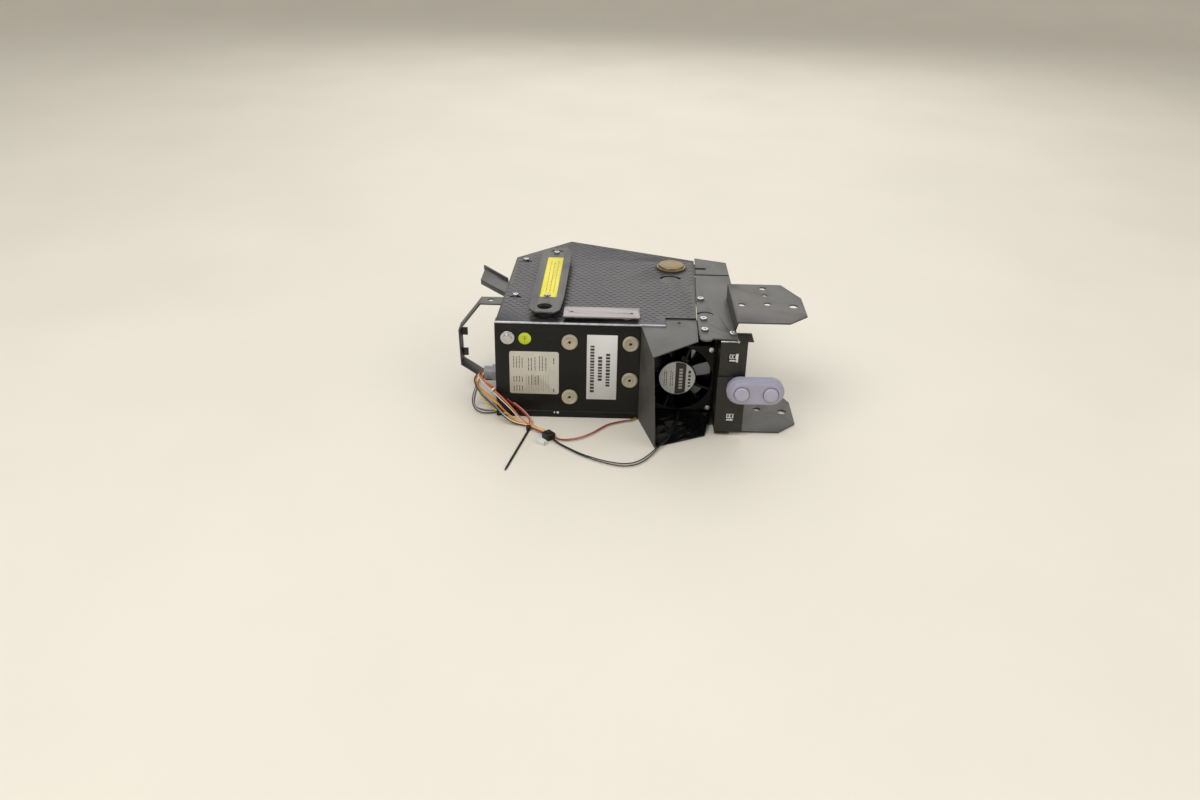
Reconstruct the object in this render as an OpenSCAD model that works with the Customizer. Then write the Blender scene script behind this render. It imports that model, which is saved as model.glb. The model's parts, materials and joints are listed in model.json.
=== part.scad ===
// Tube head of a panoramic dental X-ray unit, lying on its base.
// An oil tank holds the X-ray tube and its high voltage supply. A fan in a sheet-metal shroud
// cools it, and a fork with two equal ears carries it.
// Every piece is laid out from the front left lower corner of the head, with x to the right,
// y to the back and z up, and place() then moves the origin to the centre of the tank's base.

/* [Tank] */
// Overall width of the oil tank
tank_w = 258; // [250:1:264]
// Overall depth of the oil tank
tank_d = 276; // [272:1:280]
// Height of the tank's open top, under its lid
tank_h = 112; // [108:1:114]
// Thickness of the cast tank walls
tank_wall = 9; // [8:0.5:10]
// Width of the tank's narrow front part, beside the fan
front_w = 184; // [180:1:186]

/* [Covers] */
// Height of the top face of the patterned top plate
top_z = 133; // [130:1:136]
// Thickness of the sheet metal in the covers and brackets
sheet = 2; // [1.5:0.1:2.2]
// Height of the raised strap plate's top face
strap_z = 145; // [142:1:148]
// Height of the bare guide bar's top face
bar_z = 140; // [138:1:142]

/* [Fork] */
// Height of the upper ear's top face
fork_h = 153; // [150:1:156]
// Clearance hole radius for the outer M10 fork bolt
bolt_m10_r = 5.5; // [5.25:0.05:6]
// Clearance hole radius for the M8 fork bolts
bolt_m8_r = 4.5; // [4.2:0.05:4.8]
// Clearance hole radius for the M6 fork bolt
bolt_m6_r = 3.3; // [3.1:0.05:3.5]

/* [Fan] */
// Side of the square fan frame
fan_side = 92; // [90:1:94]
// Depth of the fan frame
fan_depth = 25.4; // [24:0.1:26]
// Distance between neighbouring fan mounting holes
fan_pitch = 82.5; // [81:0.5:84]
// Number of fan blades
blades = 7; // [5:1:9]
// Radial clearance of the fan shaft in its bearings
shaft_play = 0.05; // [0.02:0.01:0.1]

/* [Control] */
// Length of the two-button control
control_l = 71; // [68:1:76]
// Height of the two-button control
control_h = 34; // [32:1:38]
// Radius of each push button
button_r = 9; // [8:0.5:9.5]
// Travel of each push button
button_travel = 1.5; // [1:0.1:2]

/* [Leads] */
// Diameter of the bundled wires where they leave the gland
bundle_d = 7; // [5:0.5:8]
// Diameter of the pair of fan wires
fan_lead_d = 3; // [2.6:0.2:3.6]
// Diameter of the pair of thermostat wires
sense_lead_d = 2.6; // [2.2:0.2:3]

/* [Hidden] */
$fn = 48;

// Levels of the tank: floor thickness, gasket and lid
floor_t = 6;
gasket_t = 1.5;
lid_t = 6;
lid_z = tank_h + gasket_t;
lid_top = lid_z + lid_t;
// Underside of the top sheets, and underside of the hood that lies below them
top_under = top_z - sheet;
hood_t = 1.5;
// Rear face of the fan bay, where the tank steps back to its narrow front part
bay_y = 100;
// Depth of the front cover's sheet, and how far its lower hem stands proud
cover_t = 1.5;
hem_out = 1.2;
hem_h = 8.5;
// Beam port in the tank's back wall: centre and radii
port_x = 108;
port_z = 58;
port_r = 16;
port_pcd = 50;
// X-ray tube axis, parallel to x
tube_y = 232;
tube_x0 = 62;
tube_l = 108;
tube_r = 21;
// Fork: web position and the two equal ears, as one outline and one list of holes
web_x = 299;
// Right edge of the two brackets behind the upper ear
rim_x = 310.5;
ear = [[web_x, -30], [363.5, -30], [388, -6.5], [389, 52], [369, 97], [web_x, 97]];
ear_holes = [[375, 24.4, bolt_m10_r], [343, 83, bolt_m8_r], [343, 59.5, bolt_m6_r],
    [343, 30, bolt_m8_r], [310, 26.4, bolt_m8_r]];
// Fan: centre of its front face
fan_x = 232.3;
fan_z = 61;
fan_y = -1;
fan_bore_r = fan_side / 2 - 1.8;
hub_r = 21.5;
hub_in_r = 19.6;
blade_r = 43.4;
shaft_r = 1.5;
fan_hub_y = fan_y + 3.6;
hub_len = 20.3;
// Control: centre of its face
ctl_x = 326;
ctl_z = 69;
ctl_y = -58;
ctl_depth = 16;
ctl_wall = 2;
button_dx = 17.9;
// Patterned plate's outline, with the notch at its front right
plate = [[1, 0], [8.8, 233.6], [85, 308.5], [264.5, 236.3], [254.3, 25], [215, 25], [215, 0]];
plug_at = [229.9, 203.6];
// Screws through the patterned plate, and screws of the brackets
plate_screws = [[23, 223], [19.5, 88]];
strap_screws = [[67, 222], [63, 60]];
bracket_screws = [[264, 88], [263, 22], [262, -12], [296, -22]];
boss_at = [[94.7, 107.8], [171.6, 107.2], [95, 30.2], [171.8, 56.2]];
strap_hole = [61.5, 25];
bar_feet = [[102, 22], [166, 20]];
earth_at = [16.3, 111.6];

// Hand-chosen routes of the free leads
harness_route = [[-20, 45, 40], [-25, 43, 40], [-29, 36, 39], [-30, 26, 37], [-26, 14, 35],
    [-18, 2, 33], [-8, -8, 29], [2, -14, 23], [12, -18, 14], [22, -22, 7], [32, -26, 4],
    [44, -31, 4], [56, -40, 4], [67.5, -50.5, 4]];
fan_route = [[75.3, -62.5, 3.5], [81, -69, 2.6], [88, -76, 2], [98, -85, 2], [110, -95, 2],
    [124, -104, 2], [138, -111, 2], [152, -116, 2], [166, -118, 2], [178, -115, 2],
    [188, -107, 2], [196, -97, 2.2], [202, -88, 2.6], [208.5, -78, 4], [215, -69, 5],
    [222, -58, 6.4], [228, -42, 9.4], [233, -24, 12.8], [236, -9, 15.8], [237, -1, 18]];
sense_route = [[78.7, -59.4, 3.4], [84, -62.5, 2.6], [92, -63, 2], [104, -60, 2],
    [116, -53, 2], [127, -43, 2], [136, -32, 2], [145, -22, 2], [157, -15, 2], [166, -11, 2],
    [174, -9.5, 2.4]];
lead_sides = 8;

// ---- shared shapes -------------------------------------------------------------------

// Moves the front left lower corner's frame to the centre of the tank's base
module place() {
    translate([-tank_w / 2, -tank_d / 2, 0]) children();
}

// Plate of thickness t with its lower face at height z
module sheet_at(points, z, t = sheet) {
    translate([0, 0, z]) linear_extrude(t) polygon(points);
}

// Vertical hole or pillar
module post(at, r, z0, z1) {
    translate([at[0], at[1], z0]) cylinder(r = r, h = z1 - z0);
}

// Cylinder along +y from y0 to y1
module along_y(x, z, r, y0, y1) {
    translate([x, y0, z]) rotate([-90, 0, 0]) cylinder(r = r, h = y1 - y0);
}

// Cylinder along +x from x0 to x1
module along_x(y, z, r, x0, x1) {
    translate([x0, y, z]) rotate([0, 90, 0]) cylinder(r = r, h = x1 - x0);
}

// Box from corner a to corner b
module block(a, b) {
    translate(a) cube(b - a);
}

// Arched slot of width w cut through a sheet whose underside is at z, curved side to the back
module arc_slot(at, z, r, w) {
    translate([at[0], at[1], z - 1]) rotate([0, 0, 15])
        rotate_extrude(angle = 150) translate([r, 0]) square([w, sheet + 2]);
}

// Pan-head screw, head on top at height z, shank going down
module screw(at, z, head_r = 3.8, head_h = 2.6, shank_r = 2, len = 9) {
    translate([at[0], at[1], z]) difference() {
        union() {
            cylinder(r = head_r, h = head_h);
            translate([0, 0, -len]) cylinder(r = shank_r, h = len + 0.5);
        }
        translate([0, 0, head_h - 1.2]) cylinder(r = 1.9, h = 2, $fn = 6);
    }
}

// Outline of a flat strip of half-thickness h along the points p, with mitred bends
function side(v) = [-v[1], v[0]] / norm(v);
function mitre(p, i, h) = let (a = side(p[max(i, 1)] - p[max(i, 1) - 1]),
    b = i < len(p) - 1 ? side(p[i + 1] - p[i]) : a) p[i] + h * (a + b) / (1 + a * b);
function strip(p, h) = concat([for (i = [0 : len(p) - 1]) mitre(p, i, h)],
    [for (i = [len(p) - 1 : -1 : 0]) mitre(p, i, -h)]);

// Tank outline, drawn in by d all round
function tank_pts(d = 0) = [[2 + d, cover_t + d], [8 + d, 232 - 0.4 * d], [52 + 0.4 * d, tank_d - d],
    [164 - 0.2 * d, tank_d - d], [tank_w - d, 238 - 0.7 * d], [tank_w - d, bay_y + d],
    [front_w - 2 - d, bay_y + d], [front_w - 2 - d, cover_t + d]];

// Lid screws sit on the middle of the tank wall
lid_at = [[7, 7], [60, 6], [177, 7], [177, 60], [200, 104.5], [253, 105], [253, 170], [252, 229],
    [208, 252.5], [160, 271], [108, 271.5], [57, 270], [14, 229], [10.5, 150], [8.5, 80]];

// Tangent of a route at point i, and the two directions across it
function unit(v) = v / norm(v);
function tangent(p, i) = unit(p[min(i + 1, len(p) - 1)] - p[max(i - 1, 0)]);
function across(t) = unit(cross(t, abs(t[2]) < 0.9 ? [0, 0, 1] : [1, 0, 0]));
function ring_pts(p, i, r) = let (t = tangent(p, i), u = across(t), v = cross(t, u))
    [for (k = [0 : lead_sides - 1]) let (a = 360 * k / lead_sides) p[i] + r * (u * cos(a) + v * sin(a))];

// Point between p[i] and p[i + 1] on a smooth curve through all the route's points
function between(p, i, u) = let (a = p[max(i - 1, 0)], b = p[i], c = p[i + 1],
    d = p[min(i + 2, len(p) - 1)])
    0.5 * (2 * b + (c - a) * u + (2 * a - 5 * b + 4 * c - d) * u ^ 2 + (3 * b - a - 3 * c + d) * u ^ 3);
function smooth(p) = [for (i = [0 : len(p) - 2]) each [p[i], between(p, i, 0.5)], p[len(p) - 1]];

// Tube of diameter d swept along a route
module lead(route, d) {
    p = d > 5 ? route : smooth(route);
    n = len(p);
    m = lead_sides;
    pts = [for (i = [0 : n - 1]) each ring_pts(p, i, d / 2)];
    sides = [for (i = [0 : n - 2], k = [0 : m - 1])
        [i * m + k, i * m + (k + 1) % m, (i + 1) * m + (k + 1) % m, (i + 1) * m + k]];
    near = [for (k = [0 : m - 1]) m - 1 - k];
    far = [for (k = [0 : m - 1]) (n - 1) * m + k];
    polyhedron(points = pts, faces = concat([near], sides, [far]), convexity = 6);
}

// ---- oil tank and what it holds ------------------------------------------------------

module tank_shell() place() color("#24221f") difference() {
    sheet_at(tank_pts(), 0, tank_h);
    sheet_at(tank_pts(tank_wall), floor_t, tank_h);
    along_y(port_x, port_z, port_r, tank_d - 20, tank_d + 1);
    for (a = [45 : 90 : 315])
        along_y(port_x + port_pcd / 2 * cos(a), port_z + port_pcd / 2 * sin(a), 1.65,
            tank_d - 8, tank_d + 1);
    along_x(45, 40, 8.2, -1, 20);
    for (p = lid_at) post(p, 2.05, tank_h - 9, tank_h + 1);
    for (p = boss_at) along_y(p[0], p[1], 3.05, 0, 7);
}

module tank_gasket() place() color("#3b2a20") difference() {
    sheet_at(tank_pts(1.5), tank_h, gasket_t);
    sheet_at(tank_pts(tank_wall - 0.5), tank_h - 1, gasket_t + 2);
    for (p = lid_at) post(p, 2.3, tank_h - 1, lid_z + 1);
}

module tank_lid() place() color("#8d8f92") difference() {
    sheet_at(tank_pts(), lid_z, lid_t);
    for (p = lid_at) post(p, 2.3, lid_z - 1, lid_top + 1);
    post(plug_at, 12.1, lid_z - 1, lid_top + 1);
}

module lead_lining() place() color("#6d7076") difference() {
    along_x(tube_y, port_z, tube_r + 9, tube_x0 + 4, tube_x0 + tube_l - 4);
    along_x(tube_y, port_z, tube_r + 6, tube_x0 + 3, tube_x0 + tube_l);
    along_y(port_x, port_z, 11, tube_y, tank_d);
}

module tube_glass() place() color([0.75, 0.85, 0.85, 0.5])
    translate([tube_x0, tube_y, port_z]) rotate([0, 90, 0]) rotate_extrude()
        difference() {
            polygon([[6.6, 0], [14, 0], [tube_r, 10], [tube_r, tube_l - 12], [13, tube_l],
                [6.6, tube_l]]);
            polygon([[0, 3], [12.5, 2.5], [tube_r - 2, 11], [tube_r - 2, tube_l - 13],
                [12, tube_l - 2.5], [0, tube_l - 3]]);
            translate([0, -1]) square([6.6, tube_l + 2]);
        }

// Anode: a copper bar with a sloping face that carries the tungsten target
module anode() place() color("#b36a3c") difference() {
    union() {
        along_x(tube_y, port_z, 6.5, port_x + 20, tube_x0 + tube_l + 16);
        along_x(tube_y, port_z, 12.5, port_x - 3, port_x + 34);
    }
    translate([port_x - 3, tube_y, port_z]) rotate([0, 0, 20])
        block([-30, -30, -20], [0, 30, 20]);
    translate([port_x, tube_y, port_z]) rotate([0, 0, 20]) rotate([0, 90, 0])
        translate([0, 0, -4]) cylinder(r = 5, h = 5.5);
}

module anode_target() place() color("#9a9aa0")
    translate([port_x, tube_y, port_z]) rotate([0, 0, 20]) rotate([0, 90, 0])
        translate([0, 0, -2.8]) cylinder(r = 4.95, h = 4.2);

// Cathode: focusing cup on its stem, with the filament coil standing in the cup's slot
module cathode_cup() place() color("#c2c3c6") {
    difference() {
        union() {
            along_x(tube_y, port_z, 9, tube_x0 + 16, tube_x0 + 30);
            along_x(tube_y, port_z, 6.5, tube_x0 - 14, tube_x0 + 17);
        }
        block([tube_x0 + 26, tube_y - 6, port_z - 2.2], [tube_x0 + 31, tube_y + 6, port_z + 2.2]);
    }
    along_y(tube_x0 + 28, port_z, 0.8, tube_y - 6, tube_y + 6);
}

module tube_saddles() place() color("#d9cfae")
    for (x = [tube_x0 - 9, tube_x0 + tube_l + 3]) difference() {
        block([x, tube_y - 14, floor_t], [x + 8, tube_y + 14, port_z + 12]);
        along_x(tube_y, port_z, 6.6, x - 1, x + 9);
    }

module transformer_core() place() color("#5b5c60") difference() {
    block([196, 120, floor_t + 2], [240, 205, 96]);
    block([190, 138, floor_t + 22], [250, 187, 78]);
}

// Winding on one leg of the transformer core
module winding(y0, y1, inner, outer, z0, z1) {
    difference() {
        block([218 - outer, y0, z0], [218 + outer, y1, z1]);
        block([218 - inner, y0 - 1, z0 + (outer - inner)], [218 + inner, y1 + 1, z1 - (outer - inner)]);
    }
}

module primary_coil() place() color("#b4703a")
    winding(139, 152, 22.3, 27, 73.3 - 0.2, 101);

module secondary_coil() place() color("#c9b183")
    winding(155, 186, 22.3, 30, 70.1, 104);

module filament_transformer() place() color("#7f5a3a") {
    block([28, 88, floor_t + 1], [70, 128, 22]);
    block([28, 88, 58], [70, 128, 72]);
    block([38, 96, 22], [60, 120, 58]);
    block([28, 88, 22], [36, 128, 58]);
    block([62, 88, 22], [70, 128, 58]);
}

module multiplier_board() place() color("#2f6a3c") block([24, 162, 12], [150, 164, 92]);

// Capacitors and diodes of the voltage multiplier, in two rows on the board
module multiplier_parts() place() color("#2a4f8f")
    for (i = [0 : 5]) {
        along_y(36 + i * 20, 72, 7, 148, 162);
        translate([32 + i * 20, 159.4, 30]) rotate([0, i % 2 == 0 ? 20 : -20, 0])
            translate([0, 0, 2]) cylinder(r = 2.5, h = 20);
    }

// Oil expansion bellows: a stack of thin convolutions, closed at both ends
module expansion_bellows() place() color("#3a3733")
    translate([120, 90, floor_t + 1]) rotate_extrude() polygon(concat([[0, 0]],
        [for (i = [0 : 12]) [i % 2 == 0 ? 24 : 30, i * 4]], [[0, 48]]));

module beam_window() place() color("#caa76a")
    along_y(port_x, port_z, port_r - 0.05, tank_d - 6, tank_d - 3);

module beam_flange() place() color("#a9abae") difference() {
    along_y(port_x, port_z, 31, tank_d, tank_d + 5);
    along_y(port_x, port_z, 13, tank_d - 1, tank_d + 6);
    for (a = [45 : 90 : 315])
        along_y(port_x + port_pcd / 2 * cos(a), port_z + port_pcd / 2 * sin(a), 2.2,
            tank_d - 1, tank_d + 6);
}

// Two-step oil filler plug, reaching from the lid up through the patterned plate
module filler_plug() place() color("#a08f6a") {
    post(plug_at, 12, lid_z, lid_top + 1);
    post(plug_at, 15, lid_top, top_z + 1);
    post(plug_at, 20.5, top_z + 0.6, top_z + 3.4);
    post(plug_at, 18, top_z + 3, top_z + 6);
}

// ---- covers, strap and bar -----------------------------------------------------------

module front_cover() place() color("#26241f") difference() {
    union() {
        block([0, 0, 0], [front_w, cover_t, top_under]);
        block([0, -hem_out, 0], [front_w, cover_t, hem_h]);
        block([0, 0, 0], [cover_t, 18, top_under]);
        block([0, 0, top_under - cover_t], [front_w, 14, top_under]);
    }
    for (p = boss_at) along_y(p[0], p[1], 3.2, -2, 3);
    along_y(earth_at[0], earth_at[1], 3.2, -2, 3);
}

module top_plate() place() color("#55555a") difference() {
    sheet_at(plate, top_under);
    post(plug_at, 22.5, top_under - 1, top_z + 1);
    for (p = plate_screws) post(p, 2.3, top_under - 1, top_z + 1);
    for (p = strap_screws) post(p, 2.3, top_under - 1, top_z + 1);
    for (p = plate_screws) arc_slot([p[0], p[1] - 9], top_under, 5.5, 3);
    arc_slot([227, 158], top_under, 12.5, 3.5);
    for (p = bar_feet) post(p, 1.7, top_under - 1, top_z + 1);
}

// Hexagonal pillars from the tank lid to the patterned plate
module cover_standoffs() place() color("#b9bbbe")
    for (p = concat(plate_screws, strap_screws, [[180, 225], [150, 60]])) difference() {
        translate([p[0], p[1], lid_top]) cylinder(r = 4.6, h = top_under - lid_top, $fn = 6);
        post(p, 2.05, lid_top + 3, top_under + 1);
    }

module cover_screws() place() color("silver") {
    for (p = lid_at) screw(p, lid_top, len = 15);
    fan_screws();
    for (p = plate_screws) screw(p, top_z, len = 8);
    for (p = strap_screws) screw(p, strap_z, len = 20);
    for (p = bracket_screws) screw(p, top_z, head_r = 4.4, head_h = 3, len = 5.5);
    along_y(earth_at[0], earth_at[1], 9, -1.2, 0);
    along_y(earth_at[0], earth_at[1], 5, -3.6, -1.2);
    along_y(earth_at[0], earth_at[1], 3, -1.3, 1.4);
}

// Flat arm that leaves the plate's left edge, with a low flange along its back and a hem in front
module side_arm() place() color("#6d6c6a") {
    sheet_at([[13, 92], [5, 101], [-34, 148], [-33, 193], [5, 144], [13, 134]], top_under - sheet);
    translate([-33, 193, top_under - sheet]) rotate([0, 0, -52.2]) block([0, -2.2, 0], [61, 0, 6.5]);
    translate([-34, 148, top_under - sheet - 5]) rotate([0, 0, -50.3]) block([0, 0, 0], [60, 2, 6]);
}

// Flat strap bent into an open C beside the gland, given by its outer bend points in x and z
guard_pts = [[4, 130], [-25, 130], [-54, 92], [-52.5, 42], [-20, 20], [1.6, 20], [1.6, 36]];
guard_y = 62;
guard_w = 24;
module guard_strap() place() color("#6f6e6b") difference() {
    union() {
        translate([0, guard_y + guard_w, 0]) rotate([90, 0, 0]) linear_extrude(guard_w)
            polygon(strip(guard_pts, sheet / 2));
        for (z = [48, 78]) block([-53, guard_y + guard_w - 7, z], [-45, guard_y + guard_w - 5.5, z + 11]);
    }
    post([-12, guard_y + 14], 4, 120, 140);
}

module strap_plate() place() color("#6a6a67") difference() {
    sheet_at([[50, 7], [75, 6], [81.5, 15], [85, 60], [88.5, 226], [84, 240], [78, 247], [52, 238],
        [45.5, 231], [42, 17]], strap_z - sheet);
    post(strap_hole, 9.5, strap_z - 5, strap_z + 1);
    arc_slot([67, 226], strap_z - sheet, 6.5, 3);
    for (p = strap_screws) post(p, 2.3, strap_z - 5, strap_z + 1);
}

// Rubber grommet under the strap's front end, and plain spacers under its two screws
module strap_grommet() place() color("#1b1b1b") {
    difference() {
        union() {
            post(strap_hole, 13, top_z, strap_z - 5);
            post(strap_hole, 11.5, strap_z - 5, strap_z - sheet);
        }
        post(strap_hole, 8, top_z - 1, strap_z);
    }
    for (p = strap_screws) difference() {
        post(p, 5, top_z, strap_z - sheet);
        post(p, 2.3, top_z - 1, strap_z);
    }
}

module guide_bar() place() color("#b7b3b4") difference() {
    sheet_at([[86, 6.5], [182, 6.5], [182, 38], [86, 38]], bar_z - sheet);
    for (p = [[96.5, 22], [172, 20]]) post(p, 1.8, bar_z - 4, bar_z + 1);
}

module bar_standoffs() place() color([0.9, 0.9, 0.9, 0.7])
    for (p = bar_feet) {
        post(p, 6.5, top_z, bar_z - sheet);
        post(p, 1.6, top_under - 2, top_z + 0.2);
    }

// Cover bosses: washers standing on the front face, each with a threaded centre
module front_pads() place() color("#b5ab98")
    for (p = boss_at) difference() {
        union() {
            along_y(p[0], p[1], 10.2, -3, -1.2);
            along_y(p[0], p[1], 9.2, -3.8, -3);
            along_y(p[0], p[1], 10.2, -1.2, 0);
            along_y(p[0], p[1], 3, -1, 7);
        }
        along_y(p[0], p[1], 1.65, -5, 1);
    }

// ---- labels --------------------------------------------------------------------------

module rating_label() place() color("#c3bbaa")
    translate([18, 0, 33]) rotate([90, 0, 0]) linear_extrude(0.3) hull()
        for (x = [3, 60], z = [3, 57]) translate([x, z]) circle(r = 3, $fn = 32);

module tube_label() place() color("#dfe0e0") block([116.5, -0.3, 27], [155, 0, 118]);

module strap_label() place() color("#ece04e") difference() {
    sheet_at([[53.3, 55.5], [75, 55.5], [77.5, 203], [56, 203]], strap_z, 0.3);
    post(strap_screws[1], 4.4, strap_z - 1, strap_z + 1);
}

module earth_sticker() place() color("#c5d93a") along_y(38, 110.8, 8, -0.3, 0);

// ---- brackets, fork and front plates -------------------------------------------------

module top_bracket() place() color("#6f6e6b") difference() {
    union() {
        sheet_at([[263, 178], [255.1, 25.6], [254.3, -27], [260, -34], [web_x + sheet, -37],
            [web_x + sheet, -10], [web_x, -10], [web_x, 97], [rim_x, 97], [rim_x, 178]], top_under);
        post([262.5, -33.8], 8.2, top_under, top_z);
        block([web_x - sheet, 40, top_under - 14], [web_x, 170, top_under]);
    }
    for (p = bracket_screws) post(p, 2.3, top_under - 1, top_z + 1);
    arc_slot([266, 36], top_under, 8.5, 3);
}

module rear_bracket() place() color("#6f6e6b") difference() {
    union() {
        sheet_at([[263.6, 182], [rim_x, 182], [rim_x, 231.5], [266.2, 247.5]], top_under);
        block([web_x - sheet, 182, 60], [web_x, 216, top_under]);
    }
    block([260, 201, top_under - 1], [277, 207.5, top_z + 1]);
    post([277, 204.25], 3.25, top_under - 1, top_z + 1);
}

// Bolt holes of the fork, in line through both ears
module ear_bores() for (p = ear_holes) post([p[0], p[1]], p[2], -1, fork_h + 1);

// Fork's base: floor sheet and lower ear in one flat blank
module fork_base() place() color("#6b6b69") difference() {
    union() {
        block([190, -12, 0], [web_x + 1, 1, sheet]);
        block([186.5, 0, 0], [web_x + 1, 98, sheet]);
        block([281, -34, 0], [web_x + 1, -11, sheet]);
        block([260, 97, 0], [web_x + sheet, 216, sheet]);
        sheet_at(ear, 0);
    }
    ear_bores();
}

// Upright web, seam-welded to the base under it and to the upper ear over it
module fork_web() place() color("#6b6b69") translate([web_x, 0, 0]) rotate([90, 0, 90])
    linear_extrude(sheet) polygon([[-34, sheet], [216, sheet], [216, top_under], [97, top_under],
        [97, fork_h - sheet], [-30, fork_h - sheet], [-10, top_z], [-10, top_under], [-34, top_under]]);

module fork_upper_ear() place() color("#6b6b69") difference() {
    sheet_at(ear, fork_h - sheet);
    ear_bores();
}

module front_plate() place() color("#262521") difference() {
    union() {
        block([280.5, -37.5, 60], [313.5, -36, top_under]);
        block([302, -36.5, top_under - 1.5], [320.5, -12, top_under]);
        block([280.5, -36.5, 4], [282, -2, 128]);
    }
    block([291, -39, 102], [303, -35, 114]);
    block([web_x - 0.4, -36, 60], [web_x + sheet + 0.4, 0, top_z]);
}

// Lower plate: stands a little proud of the upper one
module lower_plate() place() color("#2a2825") difference() {
    union() {
        block([279.5, -40, 6], [315, -38.5, 82.5]);
        block([279.5, -38.5, 81], [315, -37.5, 82.5]);
        block([283, -38.6, 6], [314, -34, 7.5]);
    }
    block([293.5, -41, 21], [303.5, -38, 32.5]);
}

// ---- fan and its shroud --------------------------------------------------------------

// Flat or slightly twisted panel: four corners, anticlockwise seen against t, thickened along t
module panel(a, b, c, d, t) {
    polyhedron(points = [a, b, c, d, a + t, b + t, c + t, d + t],
        faces = [[0, 1, 2], [0, 2, 3], [4, 6, 5], [4, 7, 6], [0, 5, 1], [0, 4, 5],
            [1, 6, 2], [1, 5, 6], [2, 7, 3], [2, 6, 7], [3, 4, 0], [3, 7, 4]]);
}

// Shroud: a flange under the top sheets, a hood that dips to its front corner, and a left wall
shroud_x = 184.2;
hood_low = top_under - 7.2;
module fan_shroud() place() color("#5f5f5d") {
    difference() {
        block([shroud_x, -1.6, top_under - hood_t], [254.2, 60, top_under]);
        post([232, 14], 2.2, top_under - 3, top_z);
    }
    panel([shroud_x, -1, top_under - hood_t], [196.5, -77, hood_low],
        [252.5, -40, top_under - hood_t], [254.2, -1, top_under - hood_t], [0, 0, hood_t]);
    panel([203.5, -75, 0], [shroud_x, -1, 0], [shroud_x, -1, top_under - 0.8],
        [196.7, -76.4, hood_low + 0.7], [hood_t, 0.4, 0]);
    block([shroud_x, -1.6, 0], [shroud_x + hood_t, fan_y + fan_depth + hood_t, top_under - 0.5]);
    difference() {
        block([shroud_x, fan_y + fan_depth, 2], [web_x, fan_y + fan_depth + hood_t, top_under - 0.5]);
        along_y(fan_x, fan_z, fan_bore_r, 0, 60);
        for (x = [-1, 1], z = [-1, 1])
            along_y(fan_x + x * fan_pitch / 2, fan_z + z * fan_pitch / 2, 2.2, 0, 60);
    }
}

// Sheet under the fan, falling from the fan's lower edge to the front
module shroud_floor() place() color("#151515")
    panel([205.6, -73.3, 0], [268.5, -42.5, 0], [277, -2.5, 13], [188, -2.5, 13], [0, 0, 1.2]);

// Moves a fan piece, drawn along z with its front at z = 0, to its place facing the front
module fan_place() {
    translate([fan_x, fan_y, fan_z]) rotate([-90, 0, 0]) children();
}

module fan_frame() place() color("#191919") fan_place() {
    difference() {
        translate([-fan_side / 2, -fan_side / 2, 0]) cube([fan_side, fan_side, fan_depth]);
        translate([0, 0, -1]) cylinder(r = fan_bore_r, h = fan_depth + 2, $fn = 72);
        for (x = [-1, 1], y = [-1, 1]) translate([x * fan_pitch / 2, y * fan_pitch / 2, -1])
            cylinder(r = 2.2, h = fan_depth + 2);
        for (s = [0, 90, 180, 270]) rotate([0, 0, s])
            translate([-30, fan_side / 2 - 1, 4]) cube([60, 3, fan_depth - 8]);
    }
    for (s = [20 : 90 : 290]) rotate([0, 0, s])
        translate([23, -2, 0.2]) cube([fan_bore_r - 21.5, 4, 2.2]);
    cylinder(r = 24.5, h = 2.6);
    difference() {
        translate([0, 0, 2.5]) cylinder(r = 4.6, h = 15.5);
        translate([0, 0, 2.6]) cylinder(r = 3, h = 20);
    }
}

module fan_stator() place() color("#a0622f") fan_place() difference() {
    union() {
        translate([0, 0, 7]) cylinder(r = 9, h = 8);
        for (s = [0 : 90 : 270]) rotate([0, 0, s]) {
            translate([0, -3.5, 7.5]) cube([14, 7, 7]);
            translate([0, 0, 8]) rotate_extrude(angle = 50) translate([13.6, 0]) square([3.2, 6]);
        }
    }
    translate([0, 0, 5]) cylinder(r = 4.65, h = 12);
}

module fan_bearings() place() color("#d0d2d4") fan_place()
    for (z = [3.6, 14]) translate([0, 0, z]) difference() {
        cylinder(r = 2.95, h = 3.6);
        translate([0, 0, -1]) cylinder(r = shaft_r + shaft_play, h = 6);
    }

module fan_screws() fan_place()
    for (x = [-1, 1], y = [-1, 1]) translate([x * fan_pitch / 2, y * fan_pitch / 2, 0]) {
        translate([0, 0, -2.2]) cylinder(r = 3.6, h = 2.2);
        cylinder(r = 1.9, h = fan_depth + 5);
        translate([0, 0, fan_depth + hood_t]) cylinder(r = 3.6, h = 2.6, $fn = 6);
    }

module fan_label() place() color("#c9cac8") fan_place()
    translate([0, 0, -0.3]) cylinder(r = 23, h = 0.3);

// Impeller: a cup round the motor, with flat pitched blades
module fan_impeller() place() color("#141414") fan_place() {
    difference() {
        translate([0, 0, fan_hub_y - fan_y]) cylinder(r = hub_r, h = hub_len);
        translate([0, 0, 0]) cylinder(r = hub_in_r, h = fan_hub_y - fan_y + hub_len - 1.8);
        cylinder(r = shaft_r, h = fan_depth);
    }
    intersection() {
        for (i = [0 : blades - 1]) rotate([0, 0, 360 * i / blades])
            translate([0, 0, 13.6]) rotate([52, 0, 0]) translate([hub_r - 1, -0.8, -13])
                cube([blade_r - hub_r + 4, 1.6, 26]);
        translate([0, 0, 4.6]) difference() {
            cylinder(r = blade_r, h = 18.5, $fn = 72);
            translate([0, 0, -1]) cylinder(r = hub_r - 0.6, h = 22);
        }
    }
}

module fan_magnet() place() color("#4c4d50") fan_place() difference() {
    translate([0, 0, 6]) cylinder(r = hub_in_r - 0.05, h = 12);
    translate([0, 0, 5]) cylinder(r = hub_in_r - 2, h = 14);
}

module fan_shaft() place() color("#d8dadc") fan_place() {
    translate([0, 0, 3.2]) cylinder(r = shaft_r, h = 20.7);
}

// ---- two-button control --------------------------------------------------------------

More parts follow.
